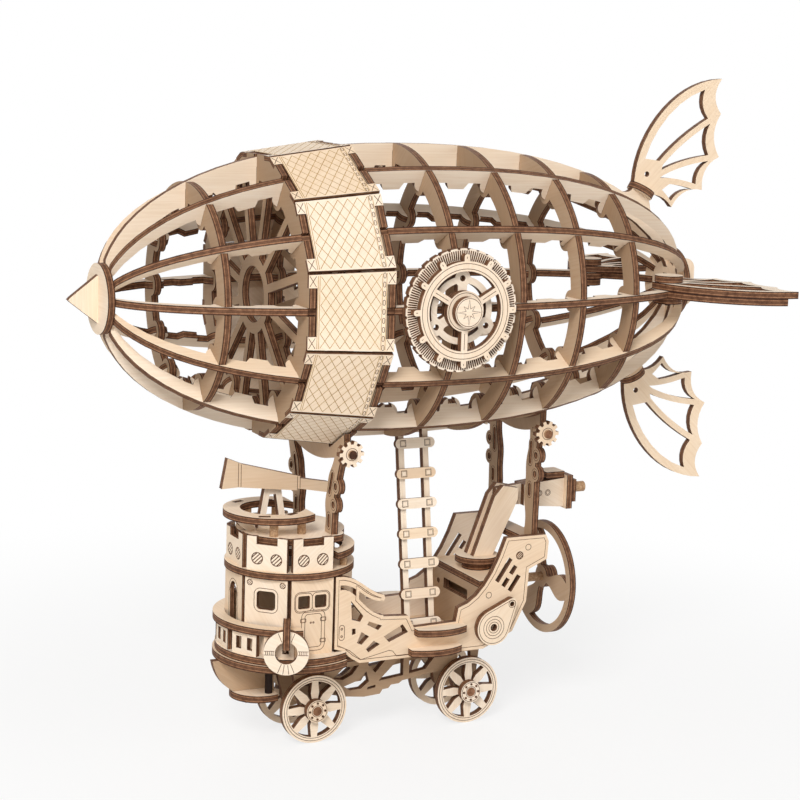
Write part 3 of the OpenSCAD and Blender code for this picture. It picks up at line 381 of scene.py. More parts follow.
class Sheet:
    """One flat sheet: its normal, its two levels, and axes u (along) and v (across) in its plane."""

    def __init__(self, faces, normal):
        self.normal = normal
        flat = [f for f in faces if abs(f.normal.dot(normal)) > FLAT]
        levels = {}
        for face in flat:
            level = round(face.calc_center_median().dot(normal) / MM, 2)
            levels[level] = levels.get(level, 0) + face.calc_area()
        wide = [k for k in levels if levels[k] > LEVEL_SHARE * max(levels.values())]
        self.low, self.high = min(wide) * MM, max(wide) * MM
        self.points = [v.co.copy() for f in flat for v in f.verts]
        self.outlines = {side: boundary([f for f in flat if f.normal.dot(normal) * side > 0])
                         for side in (1, -1)}
        self.centre = sum(self.points, Vector()) / len(self.points)
        self.u = self.longest()
        self.v = normal.cross(self.u)

    def longest(self):
        start = self.normal.orthogonal().normalized()
        turned = [Matrix.Rotation(math.radians(a), 3, self.normal) @ start
                  for a in range(0, HALF_TURN, TURN_STEP)]
        spread = [max(p.dot(d) for p in self.points) - min(p.dot(d) for p in self.points) for d in turned]
        return turned[spread.index(max(spread))]

    def ply(self, point):
        depth = (point.dot(self.normal) - self.low) / max(self.high - self.low, TINY)
        return min(1.0, max(0.0, depth))


# %% [markdown]
# ## The halo beside each cut
# The halo needs real points to fade between, because a flat sheet has points only on its outline.
# Insetting the flat region by less than half a millimetre adds that second row. An even inset would
# run far into the sheet at a sharp corner, so a plain one is used. Where a strip is too narrow for
# it the new faces would overlap, which shows as extra area: then the inset is halved.

# %% Inset rows
HALO = 0.42 * MM
HALO_TRIES = 4
AREA_SLACK = 1.0003


def copy_faces(faces):
    part = bmesh.new()
    made = {}
    for face in faces:
        for vert in face.verts:
            if vert not in made:
                made[vert] = part.verts.new(vert.co)
        part.faces.new([made[v] for v in face.verts])
    part.normal_update()
    return part


def add_halo(part, sheet, halo):
    """Insets the flat faces and returns the points of the cut edge."""
    flat = [f for f in part.faces if abs(f.normal.dot(sheet.normal)) > FLAT]
    rim = {v for f in part.faces if abs(f.normal.dot(sheet.normal)) <= FLAT for v in f.verts}
    bmesh.ops.inset_region(part, faces=flat, thickness=halo, use_boundary=True, use_even_offset=False)
    part.normal_update()
    return rim


def with_halo(faces, sheet):
    """A copy of a sheet with its halo row, and the points of its cut edge."""
    whole_area = sum(f.calc_area() for f in faces)
    for halvings in range(HALO_TRIES):
        part = copy_faces(faces)
        rim = add_halo(part, sheet, HALO / 2 ** halvings)
        if sum(f.calc_area() for f in part.faces) < whole_area * AREA_SLACK:
            break
    return part, rim


# %% [markdown]
# ## Dressing a node
# Now each point gets its ply and scorch, each corner its grain UV, and each face its material. Every
# sheet draws its own tone and moves its grain by it, so that no two look cut from the same spot.
# Some nodes, such as ribs and hangers, get painted shade: a higher tone darkens them where they sit
# in shade. Each dressed node takes the place of its CAD node on the same body.

# %% Dress every node
GRAIN_SHIFT_MM = Vector((977, 613))
SMOOTH_ANGLE = math.radians(28)
# Painted shade: these nodes are given a darker tone for the shade they sit in.
SHADED_NODES = {"front_hanger", "rear_hanger", "telescope", "truss_plates", "propeller", "bow_keel",
          "bulkheads"} | {node for node in frame["nodes"] if node.startswith("rib_")}
BODY_OF = {n: b for b, nodes in frame["record"]["behaviour"]["bodies"].items() for n in nodes}


def dress_sheet(faces, sheet, tone):
    part, rim = with_halo(faces, sheet)
    ply = part.verts.layers.float.new("ply")
    scorch = part.verts.layers.float.new("scorch")
    shade = part.verts.layers.float.new("tone")
    grain = part.loops.layers.uv.new("grain")
    for vert in part.verts:
        vert[ply] = sheet.ply(vert.co)
        vert[scorch] = 1.0 if vert in rim else 0.0
        vert[shade] = tone
    for face in part.faces:
        face.smooth = True
        face.material_index = 0 if abs(face.normal.dot(sheet.normal)) > FLAT else 1
        for loop in face.loops:
            at = loop.vert.co
            loop[grain].uv = Vector((at.dot(sheet.u), at.dot(sheet.v))) / MM + GRAIN_SHIFT_MM * tone
    return part


def dress_dowel(faces, tone):
    part = copy_faces(faces)
    for name in ("ply", "scorch", "tone"):
        layer = part.verts.layers.float.new(name)
        for vert in part.verts:
            vert[layer] = tone
    part.loops.layers.uv.new("grain")
    spans = [max(v.co[i] for v in part.verts) - min(v.co[i] for v in part.verts) for i in range(3)]
    axis = spans.index(max(spans))
    for face in part.faces:
        face.smooth = True
        face.material_index = 1 if abs(face.normal[axis]) > FLAT else 2
    return part


def dress(node):
    dice = random.Random(node)
    source = merged_copy(node)
    whole = bmesh.new()
    found = []
    for faces in solids_of(source):
        normal = sheet_normal(faces, NORMAL_HINT.get(node))
        # A node in the shaded set has its tone raised above one half: painted shade.
        tone = (dice.random() + (node in SHADED_NODES)) / 2
        if normal is None:
            part = dress_dowel(faces, tone)
        else:
            found.append(Sheet(faces, normal))
            part = dress_sheet(faces, found[-1], tone)
        solid = bpy.data.meshes.new("part")
        part.to_mesh(solid)
        whole.from_mesh(solid)
        bpy.data.meshes.remove(solid)
        part.free()
    mesh = bpy.data.meshes.new(node + "_ply")
    whole.to_mesh(mesh)
    whole.free()
    source.free()
    mesh.set_sharp_from_angle(angle=SMOOTH_ANGLE)
    for material in (FACE, EDGE, DOWEL):
        mesh.materials.append(material)
    piece = bpy.data.objects.new(node + "_ply", mesh)
    bpy.context.scene.collection.objects.link(piece)
    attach(piece, BODY_OF[node])
    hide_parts(node)
    return found


sheets = {node: dress(node) for node in sorted(frame["nodes"])}
print("sheets", sum(len(s) for s in sheets.values()))

# %% [markdown]
# ## Drawing on the wood
# A page is one face of a sheet with its own x and y in millimetres, so a drawing is written the
# way it would be on paper. Strokes are collected for each body and turned into shallow ridges
# later, because one path can then carry every line of a body. A ridge is a round bar sunk below
# the face: with a radius of 1.25 and a depth of 0.75 half widths, one half width shows on each
# side of the line.

# %% Pages and strokes
FINE, BOLD, BROAD = 0.15, 0.2, 0.24
RIDGE_RADIUS, RIDGE_DEPTH = 1.25, 0.75
UP = Vector((0, 0, 1))
ALONG = Vector((1, 0, 0))
strokes = {}


def half_way(points, axis):
    reach = [p.dot(axis) for p in points]
    return axis * (max(reach) + min(reach)) / 2


class Page:
    """One face of a sheet: x and y in millimetres from an origin, looking at the face from outside."""

    def __init__(self, sheet, outward, up=UP, across=None, origin=None):
        side = 1 if sheet.normal.dot(outward) > 0 else -1
        self.n = sheet.normal * side
        self.y = (up - self.n * up.dot(self.n)).normalized()
        self.x = self.y.cross(self.n)
        if across and self.x.dot(across) < 0:
            self.x = -self.x
        if origin is None:
            origin = half_way(sheet.points, self.x) + half_way(sheet.points, self.y)
        level = sheet.high if side > 0 else -sheet.low
        self.origin = origin + self.n * (level - origin.dot(self.n))
        self.points = [self.flat(p) for p in sheet.points]
        self.rings = [[self.flat(p) for p in ring] for ring in sheet.outlines[side]]
        self.left, self.right = (f(p[0] for p in self.points) for f in (min, max))
        self.foot, self.top = (f(p[1] for p in self.points) for f in (min, max))

    def flat(self, point):
        away = point - self.origin
        return away.dot(self.x) / MM, away.dot(self.y) / MM

    def at(self, x, y, depth):
        return self.origin + (self.x * x + self.y * y - self.n * depth) * MM


def side_page(sheet, origin=None):
    """The face of an upright sheet that looks away from the model's middle plane."""
    return Page(sheet, sheet.centre * SIDEWAYS, across=ALONG, origin=origin)


def draw(body, page, points, half=FINE, closed=False, tone="brown"):
    path = [page.at(x, y, RIDGE_DEPTH * half) for x, y in points]
    strokes.setdefault((body, tone), []).append((path, RIDGE_RADIUS * half * MM, closed))


def drawn():
    return sum(len(s) for s in strokes.values())


# %% [markdown]
# ## Shapes to draw
# A few shapes come back again and again: circles, hatched circles, rounded oblongs, a line that
# follows an outline at a fixed gap, and a line straight across a sheet. Each is a list of points.

# %% Circles, oblongs and parallel lines
HATCH_SLACK_MM = 0.1
MITRE_LIMIT = 0.35
GAP_KEPT = 0.97
CHORD_GAP_MM = 0.3


def circle(x, y, r, count=36):
    turns = [k * math.tau / count for k in range(count)]
    return [(x + r * math.cos(a), y + r * math.sin(a)) for a in turns]


def hatch(x, y, r, pitch, angle):
    c, s = math.cos(math.radians(angle)), math.sin(math.radians(angle))
    steps = int(r / pitch)
    for d in (pitch * (k + 0.5) for k in range(-steps - 1, steps + 1)):
        if abs(d) < r - HATCH_SLACK_MM:
            h = math.sqrt(r * r - d * d)
            yield [(x - d * s + c * h, y + d * c + s * h), (x - d * s - c * h, y + d * c - s * h)]


def rounded(x, y, w, h, r, count=4):
    a, b = w / 2 - r, h / 2 - r
    corners = [(a, b, 0), (-a, b, 90), (-a, -b, 180), (a, -b, 270)]
    turns = [math.radians(90 * k / count) for k in range(count + 1)]
    return [(x + a + r * math.cos(math.radians(t) + k), y + b + r * math.sin(math.radians(t) + k))
            for a, b, t in corners for k in turns]


def distance(point, a, b):
    """How far a point lies from the line between a and b."""
    share = (point - a).dot(b - a) / max((b - a).length_squared, TINY)
    return (point - (a + (b - a) * min(1, max(0, share)))).length


def beside(ring, gap, hole=False):
    """A closed line that keeps a gap from an outline, on the wood side of it."""
    path = [Vector(p) for p in ring]
    sides = list(zip(path, path[1:] + path[:1]))
    area = sum(a.x * b.y - b.x * a.y for a, b in sides)
    sign = (1 if area > 0 else -1) * (-1 if hole else 1)
    edges = [(b - a).normalized() for a, b in sides]
    moved = []
    for here, before, following in zip(path, edges[-1:] + edges[:-1], edges):
        n1, n2 = (Vector((-e.y, e.x)) * sign for e in (before, following))
        moved.append(here + (n1 + n2) * gap / max(MITRE_LIMIT, 1 + n1.dot(n2)))
    return [(p.x, p.y) for p in moved if min(distance(p, a, b) for a, b in sides) > GAP_KEPT * gap]


def chord(page, x):
    """A line straight across the sheet at x, a little short of both edges."""
    ring = page.rings[0]
    hits = [a[1] + (b[1] - a[1]) * (x - a[0]) / (b[0] - a[0])
            for a, b in zip(ring, ring[1:] + ring[:1]) if (a[0] - x) * (b[0] - x) < 0]
    return [(x, min(hits) + CHORD_GAP_MM), (x, max(hits) - CHORD_GAP_MM)]


# %% [markdown]
# ## The quilted band
# Each panel has a field of diamonds between a double line at the front and a chain of links at the
# rear, and a cross on each corner tab. The diamonds are two families of slanted lines laid out on
# a unit square, then stretched to the panel, which is wider at the rear.

# %% Band panels
AXIS_Z = (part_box("nose_disc")[0].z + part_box("nose_disc")[1].z) / 2
QUILT_ALONG, QUILT_ACROSS = 6, 5
FIELD_FRONT_MM, FIELD_REAR_MM, FIELD_SIDE_MM = 1.6, 2.6, 0.8
BORDER_FRONT_MM, BORDER_REAR_MM, BORDER_SIDE_MM = (1.2, 0.5), (0.4, 2.1), 0.5
LINKS, LINK_LONG_MM, LINK_WIDE_MM, LINK_ROUND_MM, LINK_END_MM = 9, 2.0, 0.9, 0.42, 1.4
TAB_LONG_MM, TAB_WIDE_MM, TAB_END_MM, TAB_ROOT_MM, TAB_SIDE_MM = 3.3, 5.0, 0.4, 0.3, 0.5
CORNER_SLACK_MM = 0.5


def slanted(i):
    start = (i / QUILT_ALONG, 0) if i <= QUILT_ALONG else (1, (i - QUILT_ALONG) / QUILT_ACROSS)
    end = (0, i / QUILT_ACROSS) if i <= QUILT_ACROSS else ((i - QUILT_ACROSS) / QUILT_ALONG, 1)
    return start, end


def quilt(page):
    front = max(x for x, y in page.points if y < page.foot + CORNER_SLACK_MM)
    rear = max(x for x, y in page.points if y > page.top - CORNER_SLACK_MM)
    low, high = page.foot + TAB_LONG_MM + FIELD_FRONT_MM, page.top - TAB_LONG_MM - FIELD_REAR_MM

    def half(y):
        return front + (rear - front) * (y - page.foot) / (page.top - page.foot)

    def place(p, q):
        y = low + p * (high - low)
        return (2 * q - 1) * (half(y) - FIELD_SIDE_MM), y

    for i in range(1, QUILT_ALONG + QUILT_ACROSS):
        start, end = slanted(i)
        draw("frame", page, [place(*start), place(*end)], tone="gold")
        draw("frame", page, [place(start[0], 1 - start[1]), place(end[0], 1 - end[1])], tone="gold")
    for y in [low - gap for gap in BORDER_FRONT_MM] + [high + gap for gap in BORDER_REAR_MM]:
        reach = half(y) - BORDER_SIDE_MM
        draw("frame", page, [(-reach, y), (reach, y)], tone="gold")
    reach = half(high) - LINK_END_MM
    y = high + sum(BORDER_REAR_MM) / 2
    for k in range(LINKS):
        x = reach * (2 * k / (LINKS - 1) - 1)
        draw("frame", page, rounded(x, y, LINK_LONG_MM, LINK_WIDE_MM, LINK_ROUND_MM, 2), closed=True)
    root = TAB_LONG_MM - TAB_ROOT_MM
    for y0, y1 in ((page.foot + TAB_END_MM, page.foot + root), (page.top - root, page.top - TAB_END_MM)):
        for side in (-1, 1):
            a = side * (half(y0) - TAB_SIDE_MM)
            b = side * (half(y0) - TAB_WIDE_MM + TAB_SIDE_MM)
            draw("frame", page, [(a, y0), (b, y1)])
            draw("frame", page, [(a, y1), (b, y0)])


for sheet in sheets["band_panels"]:
    quilt(Page(sheet, sheet.centre - Vector((sheet.centre.x, 0, AXIS_Z)), up=ALONG))
print("strokes with the band", drawn())

# %% [markdown]
# ## Ship's wheels
# Everything round is drawn from its centre, which the frame gives as the middle of a node's box.
# The ring behind each ship's wheel is knurled with short radial cuts, the wheel has a double rim and
# a tick on each handle, and the pin in the middle carries a plain compass star.

# %% Knurled rings, helms and stars
KNURLS, KNURL_HALF = 150, 0.32
KNURL_IN_MM, KNURL_OUT_MM, KNURL_RING_MM = 4.6, 0.8, 5.2
HELM_RINGS_MM = (18.7, 16.6, 7.3)
TICK_FROM_MM, TICK_END_MM, TICK_STEP = 20.6, 1, 30
SPOKE_FROM_MM, SPOKE_TO_MM, SPOKES = 8.8, 15.2, (30, 150, 270)
STAR_RADII_MM, STAR_RING_MM, STAR_STEP = (5.0, 1.5, 3.4, 1.5), 5.5, 22.5
STAR = [(r * math.sin(math.radians(STAR_STEP * k)), r * math.cos(math.radians(STAR_STEP * k)))
        for k, r in enumerate(STAR_RADII_MM * 4)]


def radial(body, page, r0, r1, angles, half=FINE):
    for a in (math.radians(a) for a in angles):
        draw(body, page, [(r * math.cos(a), r * math.sin(a)) for r in (r0, r1)], half)


def middle(node):
    lo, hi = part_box(node)
    return (lo + hi) / 2


HELM_X = middle("helm_left").x
helm_axis = Vector((HELM_X, 0, AXIS_Z))
for sheet in sheets["emblem_backs"]:
    page = side_page(sheet, helm_axis)
    knurl_turns = [360 * k / KNURLS for k in range(KNURLS)]
    radial("frame", page, page.right - KNURL_IN_MM, page.right - KNURL_OUT_MM, knurl_turns, KNURL_HALF)
    draw("frame", page, circle(0, 0, page.right - KNURL_RING_MM, count=64), closed=True)
for node in ("helm_left", "helm_right"):
    sheet = sheets[node][0]
    page = Page(sheet, sheet.centre - helm_axis, across=ALONG, origin=helm_axis)
    for r in HELM_RINGS_MM:
        draw(node, page, circle(0, 0, r, count=64), closed=True)
    radial(node, page, TICK_FROM_MM, page.right - TICK_END_MM, range(0, 360, TICK_STEP))
    radial(node, page, SPOKE_FROM_MM, SPOKE_TO_MM, SPOKES)
for sheet in sheets["pivot_pins"]:
    if abs(sheet.centre.x - HELM_X) < MM:
        page = side_page(sheet, helm_axis)
        draw("frame", page, STAR, BOLD, closed=True)
        draw("frame", page, circle(0, 0, STAR_RING_MM), closed=True)
print("strokes with the helms", drawn())

# %% [markdown]
# ## Wheels, gears and hangers
# The road wheels have two lines inside the tread, and a washer on the hub with a line at its rim and
# its hole. The gears get one ring, and the holes in the hangers' legs a line around them. The hub
# washers' places are kept for the pegs that a later cell sets on them.

# %% Road wheels, gears and hangers
TREAD_LINES_MM = (0.9, 2.0)
WASHER_MM, WASHER_RIM_MM, WASHER_HOLE_MM = 8, 0.5, 2.4
GEAR_RING_MM = 2.5
HANGER_GAP_MM = 0.8
hub_faces = {}
for end in ("front", "rear"):
    body = end + "_wheelset"
    for sheet in sheets[end + "_wheels"]:
        page = side_page(sheet, middle(end + "_axle"))
        if page.right < WASHER_MM:
            rings = (page.right - WASHER_RIM_MM, WASHER_HOLE_MM)
            hub_faces.setdefault(body, []).append(page.origin)
        else:
            rings = [page.right - gap for gap in TREAD_LINES_MM]
        for r in rings:
            draw(body, page, circle(0, 0, r, count=48), closed=True)
for sheet in sheets["strut_gears"]:
    draw("frame", Page(sheet, sheet.centre * SIDEWAYS), circle(0, 0, GEAR_RING_MM), closed=True)
for node in ("front_hanger", "rear_hanger"):
    page = Page(sheets[node][0], -ALONG)
    for ring in page.rings[1:]:
        draw("frame", page, beside(ring, HANGER_GAP_MM, hole=True), closed=True)
print("strokes with the wheels", drawn(), "hubs", sum(len(f) for f in hub_faces.values()))

# %% [markdown]
# ## The tower's walls
# Window frames follow the real openings at a fixed gap, so they fit whatever size the CAD gives.

# %% Walls and doors
TOWER = middle("ring_deck")
FACING, HALF_FACING = 0.9, 0.5
WINDOW_GAP_MM = 1.1
ARCH_HALF_MM, ARCH_FOOT_MM, ARCH_SPRING_MM, ARCH_STEPS = 4.9, 1, 20.5, 10
WALL_SCREW_X_MM, WALL_SCREW_DROP_MM, WALL_SCREW_MM = 7.2, 2.4, 1.2
LINTEL_Y_MM, LINTEL_MM = 22.4, (15.6, 8.6, 2.2)
DOOR_X_MM, DOOR_Y_MM, DOOR_FRAMES_MM = 0.6, 10.2, ((10.4, 17.0, 2.6), (7.4, 14.0, 1.4))
HINGE_X_MM, HINGE_Y_MM, HINGE_MM = 4.45, 4.5, (2.3, 1.5, 0.2)
PEEPHOLE_X_MM, PEEPHOLE_Y_MM, PEEPHOLE_MM = (-0.5, 0.7), 3.4, 0.3


def screw(page, x, y, r, pitch=0.6, half=FINE):
    draw("frame", page, circle(x, y, r, count=24), half, closed=True)
    for line in hatch(x, y, r, pitch, 45):
        draw("frame", page, line, half)


def arched_doorway(page):
    foot, spring = page.foot + ARCH_FOOT_MM, page.foot + ARCH_SPRING_MM
    turns = [math.pi * (1 - k / ARCH_STEPS) for k in range(ARCH_STEPS + 1)]
    arch = [(ARCH_HALF_MM * math.cos(a), spring + ARCH_HALF_MM * math.sin(a)) for a in turns]
    draw("frame", page, [(-ARCH_HALF_MM, foot)] + arch + [(ARCH_HALF_MM, foot)])


def cabin_door(page):
    y = page.foot + DOOR_Y_MM
    for oblong in DOOR_FRAMES_MM:
        draw("frame", page, rounded(DOOR_X_MM, y, *oblong), closed=True)
    for side in (-1, 1):
        for end in (1, -1):
            hinge = rounded(DOOR_X_MM + side * HINGE_X_MM, y + end * HINGE_Y_MM, *HINGE_MM, count=1)
            draw("frame", page, hinge, BOLD, closed=True)
    for x in PEEPHOLE_X_MM:
        draw("frame", page, circle(x, y + PEEPHOLE_Y_MM, PEEPHOLE_MM, count=8), BOLD, closed=True)


for sheet in sheets["tower_walls"]:
    page = Page(sheet, sheet.centre - TOWER)
    for ring in page.rings[1:]:
        draw("frame", page, beside(ring, WINDOW_GAP_MM, hole=True), closed=True)
    if page.n.x < -FACING:
        arched_doorway(page)
    if -FACING < page.n.x < -HALF_FACING:
        for side in (-1, 1):
            screw(page, side * WALL_SCREW_X_MM, page.top - WALL_SCREW_DROP_MM, WALL_SCREW_MM)
    if abs(page.n.y) > FACING:
        draw("frame", page, rounded(0, page.foot + LINTEL_Y_MM, *LINTEL_MM), closed=True)
        cabin_door(page)
print("strokes with the walls", drawn())

# %% [markdown]
# ## The tower's top and the life ring
# Each parapet panel has two large slotted screws. Tenons from below end in the nest ring's top face,
# burnt dark, so each is drawn as a filled oblong. The life ring is bound with cord at its sides and
# marked with short lines above and below.

# %% Parapets, nest ring and life ring
PARAPET_SCREW_X_MM, PARAPET_SCREW_Y_MM, PARAPET_SCREW_MM, PARAPET_PITCH_MM = 4.2, 4.9, 2.4, 1.15
NEST_SLOTS, NEST_SLOT_R_MM = (62, 110, 250, 298), 15.5
TENON_LONG_MM, TENON_WIDE_MM, TENON_LINES = 4.8, 1.9, 5
MARK_FROM_MM, MARK_TO_MM = 4.9, 8.9
MARKS = (-112, -98, -82, -68, 68, 82, 98, 112)
BIND_FROM_MM, BIND_TO_MM, BIND_HALF_MM = 4.8, 9.0, 0.8
CORDS, CORD_FROM_MM, CORD_PITCH_MM = 5, 5.3, 0.75


def tenon(page, angle):
    """The burnt end of a tenon that comes through the ring: a filled oblong across the radius."""
    x, y = (NEST_SLOT_R_MM * f(math.radians(angle)) for f in (math.cos, math.sin))
    c, s = math.cos(math.radians(angle + 90)), math.sin(math.radians(angle + 90))
    for d in (TENON_WIDE_MM * (k / (TENON_LINES - 1) - 0.5) for k in range(TENON_LINES)):
        ends = [(x - s * d + c * h, y + c * d + s * h) for h in (-TENON_LONG_MM / 2, TENON_LONG_MM / 2)]
        draw("frame", page, ends, BROAD)


def most_detailed(node):
    return max(sheets[node], key=lambda s: len(s.points))


for sheet in sheets["parapets"]:
    page = Page(sheet, sheet.centre - TOWER)
    for side in (-1, 1):
        screw(page, side * PARAPET_SCREW_X_MM, page.foot + PARAPET_SCREW_Y_MM, PARAPET_SCREW_MM,
              PARAPET_PITCH_MM, BROAD)
page = Page(most_detailed("nest_ring"), UP, up=SIDEWAYS, across=ALONG, origin=middle("nest_ring"))
for angle in NEST_SLOTS:
    tenon(page, angle)
ring_sheet = most_detailed("life_ring")
page = Page(ring_sheet, ring_sheet.centre - TOWER)
radial("frame", page, MARK_FROM_MM, MARK_TO_MM, MARKS)
for side in (-1, 1):
    for y in (-BIND_HALF_MM, BIND_HALF_MM):
        draw("frame", page, [(side * BIND_FROM_MM, y), (side * BIND_TO_MM, y)])
    for x in (side * (CORD_FROM_MM + CORD_PITCH_MM * k) for k in range(CORDS)):
        draw("frame", page, [(x, -BIND_HALF_MM), (x, BIND_HALF_MM)])
print("strokes with the tower", drawn())

# %% [markdown]
# ## The car's side plates
# Each side plate has a line inside its outline, a bent seam below, bolt heads, a screw and a latch
# with two rivets. The stern cover over it has rings round its pivot. Their places are measured from
# the floor below the ship's wheels, forward negative, because both plates share that point.

# %% Side plates and stern covers
SEAM_MM = [(-31, 44.5), (-28.7, 43.3), (-25.8, 41.9), (-20.4, 37.4), (-7.5, 40), (-5.7, 39.5),
           (-3.9, 37.2), (3, 37.2)]
PLATE_GAP_MM, COVER_GAP_MM = 1.4, 0.8
BOLTS_MM, BOLT_MM = ((57.5, 78.9), (39.1, 59.4)), 1.3
PLATE_SCREW_X_MM, PLATE_SCREW_Y_MM, PLATE_SCREW_MM, PLATE_PITCH_MM = 53.4, 75.6, 1.6, 0.7
LATCH_X_MM, LATCH_Y_MM, LATCH_MM = -29.4, 49.8, (2.4, 6.4, 1.1)
RIVETS_Y_MM, RIVET_MM = (48.2, 51.4), 0.4
COVER_CIRCLES_MM = ((40.5, 45.8, 2.4), (40.5, 45.8, 3.6), (40.5, 45.8, 4.9), (49, 55.4, 1.6))
plate_base = Vector((HELM_X, 0, 0))
for sheet in sheets["side_plates"]:
    page = side_page(sheet, plate_base)
    draw("frame", page, beside(page.rings[0], PLATE_GAP_MM), closed=True)
    draw("frame", page, SEAM_MM)
    for x, y in BOLTS_MM:
        draw("frame", page, circle(x, y, BOLT_MM, count=20), closed=True)
    screw(page, PLATE_SCREW_X_MM, PLATE_SCREW_Y_MM, PLATE_SCREW_MM, PLATE_PITCH_MM, BROAD)
    draw("frame", page, rounded(LATCH_X_MM, LATCH_Y_MM, *LATCH_MM), closed=True)
    for y in RIVETS_Y_MM:
        draw("frame", page, circle(LATCH_X_MM, y, RIVET_MM, count=10), BOLD, closed=True)
for sheet in sheets["stern_covers"]:
    page = side_page(sheet, plate_base)
    draw("frame", page, beside(page.rings[0], COVER_GAP_MM), closed=True)
    for x, y, r in COVER_CIRCLES_MM:
        draw("frame", page, circle(x, y, r), closed=True)
print("strokes with the side plates", drawn())

# %% [markdown]
# ## Ladder, telescope and gun
# The rungs' holes get a dark rim. The telescope has two pairs of rings, drawn straight across
# its flat tube, and the gun two portholes on each outer plate. The last two ride on moving bodies,
# so their strokes are kept apart from the frame's.

# %% Rungs, tube and portholes
RUNG_GAP_MM = 0.3
RUNG_FRONT = Vector((0, -1, 0.2))
TUBE_RINGS = (0.35, 0.325, -0.2, -0.225)
GUN_CORE_MM = 2
PORT_START, PORTS_X_MM, PORT_Y_MM, PORT_RINGS_MM = 0.2, (-0.3, 3.9), 0.4, (0.8, 1.3)
for sheet in sheets["ladder_rungs"]:
    page = Page(sheet, RUNG_FRONT)
    for ring in page.rings[1:]:
        draw("frame", page, beside(ring, RUNG_GAP_MM, hole=True), BOLD, closed=True)
tube = sheets["telescope"][0]
forward = tube.u if tube.u.x < 0 else -tube.u
for outward in (-SIDEWAYS, SIDEWAYS):
    page = Page(tube, outward, up=forward.cross(SIDEWAYS), across=forward)
    for share in TUBE_RINGS:
        draw("telescope", page, chord(page, share * (page.right - page.left)))
for sheet in sheets["gun"]:
    if abs(sheet.normal.y) > FACING and abs(sheet.centre.y) > GUN_CORE_MM * MM:
        page = side_page(sheet)
        for x in (page.left * PORT_START + x for x in PORTS_X_MM):
            for r in PORT_RINGS_MM:
                draw("turret", page, circle(x, PORT_Y_MM, r, count=20), closed=True)
print("strokes", drawn())

# %% [markdown]
# ## Strokes become ridges
# One Geometry Nodes tree turns any set of paths into shallow ridges: mesh edges become a curve, the
# curve takes its radius from the attribute half_width, and a small round profile runs along it.
# Each path lies a little under the face, so only a thin cap shows. The result is kept as a mesh.

# %% Line tree
LINE_SIDES = 6


def new_tree(name, inputs):
    """An empty tree with named inputs, and the sockets that they come in on."""
    tree = bpy.data.node_groups.new(name, "GeometryNodeTree")
    tree.interface.new_socket("Geometry", in_out="INPUT", socket_type="NodeSocketGeometry")
    for label, kind in inputs.items():
        tree.interface.new_socket(label, in_out="INPUT", socket_type="NodeSocket" + kind)
    tree.interface.new_socket("Geometry", in_out="OUTPUT", socket_type="NodeSocketGeometry")
    return tree, add(tree, "NodeGroupInput").outputs


def line_tree():
    tree, given = new_tree("scorched_line_from_path", {"Sides": "Int", "Material": "Material"})
    curve = add(tree, "GeometryNodeMeshToCurve", {"Mesh": given["Geometry"]})
    width = add(tree, "GeometryNodeInputNamedAttribute", {"Name": "half_width"}, data_type="FLOAT")
    profile = add(tree, "GeometryNodeCurvePrimitiveCircle",
                  {"Resolution": given["Sides"], "Radius": 1.0}, mode="RADIUS")
    ridge = add(tree, "GeometryNodeCurveToMesh",
                {"Curve": curve.outputs["Curve"], "Profile Curve": profile.outputs["Curve"],
                 "Fill Caps": True, "Scale": width.outputs["Attribute"]})
    whole = add(tree, "GeometryNodeRealizeInstances", {"Geometry": ridge.outputs["Mesh"]})
    painted = add(tree, "GeometryNodeSetMaterial",
                  {"Geometry": whole.outputs["Geometry"], "Material": given["Material"]})
    add(tree, "NodeGroupOutput", {"Geometry": painted.outputs["Geometry"]})
    return tree


def grow(name, mesh, tree, inputs):
    """Runs a tree on a mesh and keeps the result as a plain object."""
    maker = bpy.data.objects.new(name + "_maker", mesh)
    bpy.context.scene.collection.objects.link(maker)
    modifier = maker.modifiers.new("tree", "NODES")
    modifier.node_group = tree
    ids = {s.name: s.identifier for s in tree.interface.items_tree if s.in_out == "INPUT"}
    for key, value in inputs.items():
        modifier[ids[key]] = value
    maker.update_tag()
    result = bpy.data.meshes.new_from_object(maker.evaluated_get(bpy.context.evaluated_depsgraph_get()))
    maker.modifiers.clear()
    bpy.data.objects.remove(maker)
    piece = bpy.data.objects.new(name, result)
    bpy.context.scene.collection.objects.link(piece)
    return piece


LINE_TREE = line_tree()
for (body, tone), paths in sorted(strokes.items()):
    points, edges, widths = [], [], []
    for path, half, closed in paths:
        first = len(points)
        points += path
        widths += [half] * len(path)
        edges += [(first + i, first + i + 1) for i in range(len(path) - 1)]
        if closed:
            edges.append((first + len(path) - 1, first))
    mesh = bpy.data.meshes.new("paths")
    mesh.from_pydata(points, edges, [])
    mesh.attributes.new("half_width", "FLOAT", "POINT").data.foreach_set("value", widths)
    colour = LINE if tone == "brown" else GOLD
    piece = grow(f"{body}_{tone}_lines", mesh, LINE_TREE, {"Sides": LINE_SIDES, "Material": colour})
    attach(piece, body)
    print(piece.name, len(piece.data.polygons))

# %% [markdown]
# ## Pegs round the wheel hubs
# Each hub washer has eight small pegs. A second tree sets pegs round a circle and puts that ring on
# every point it is given, one for each hub, so the count and the radius stay plain inputs.

# %% Peg tree
PEGS, PEG_RING_MM, PEG_MM, PEG_LONG_MM, PEG_SIDES = 8, 3.45, 0.5, 0.5, 12


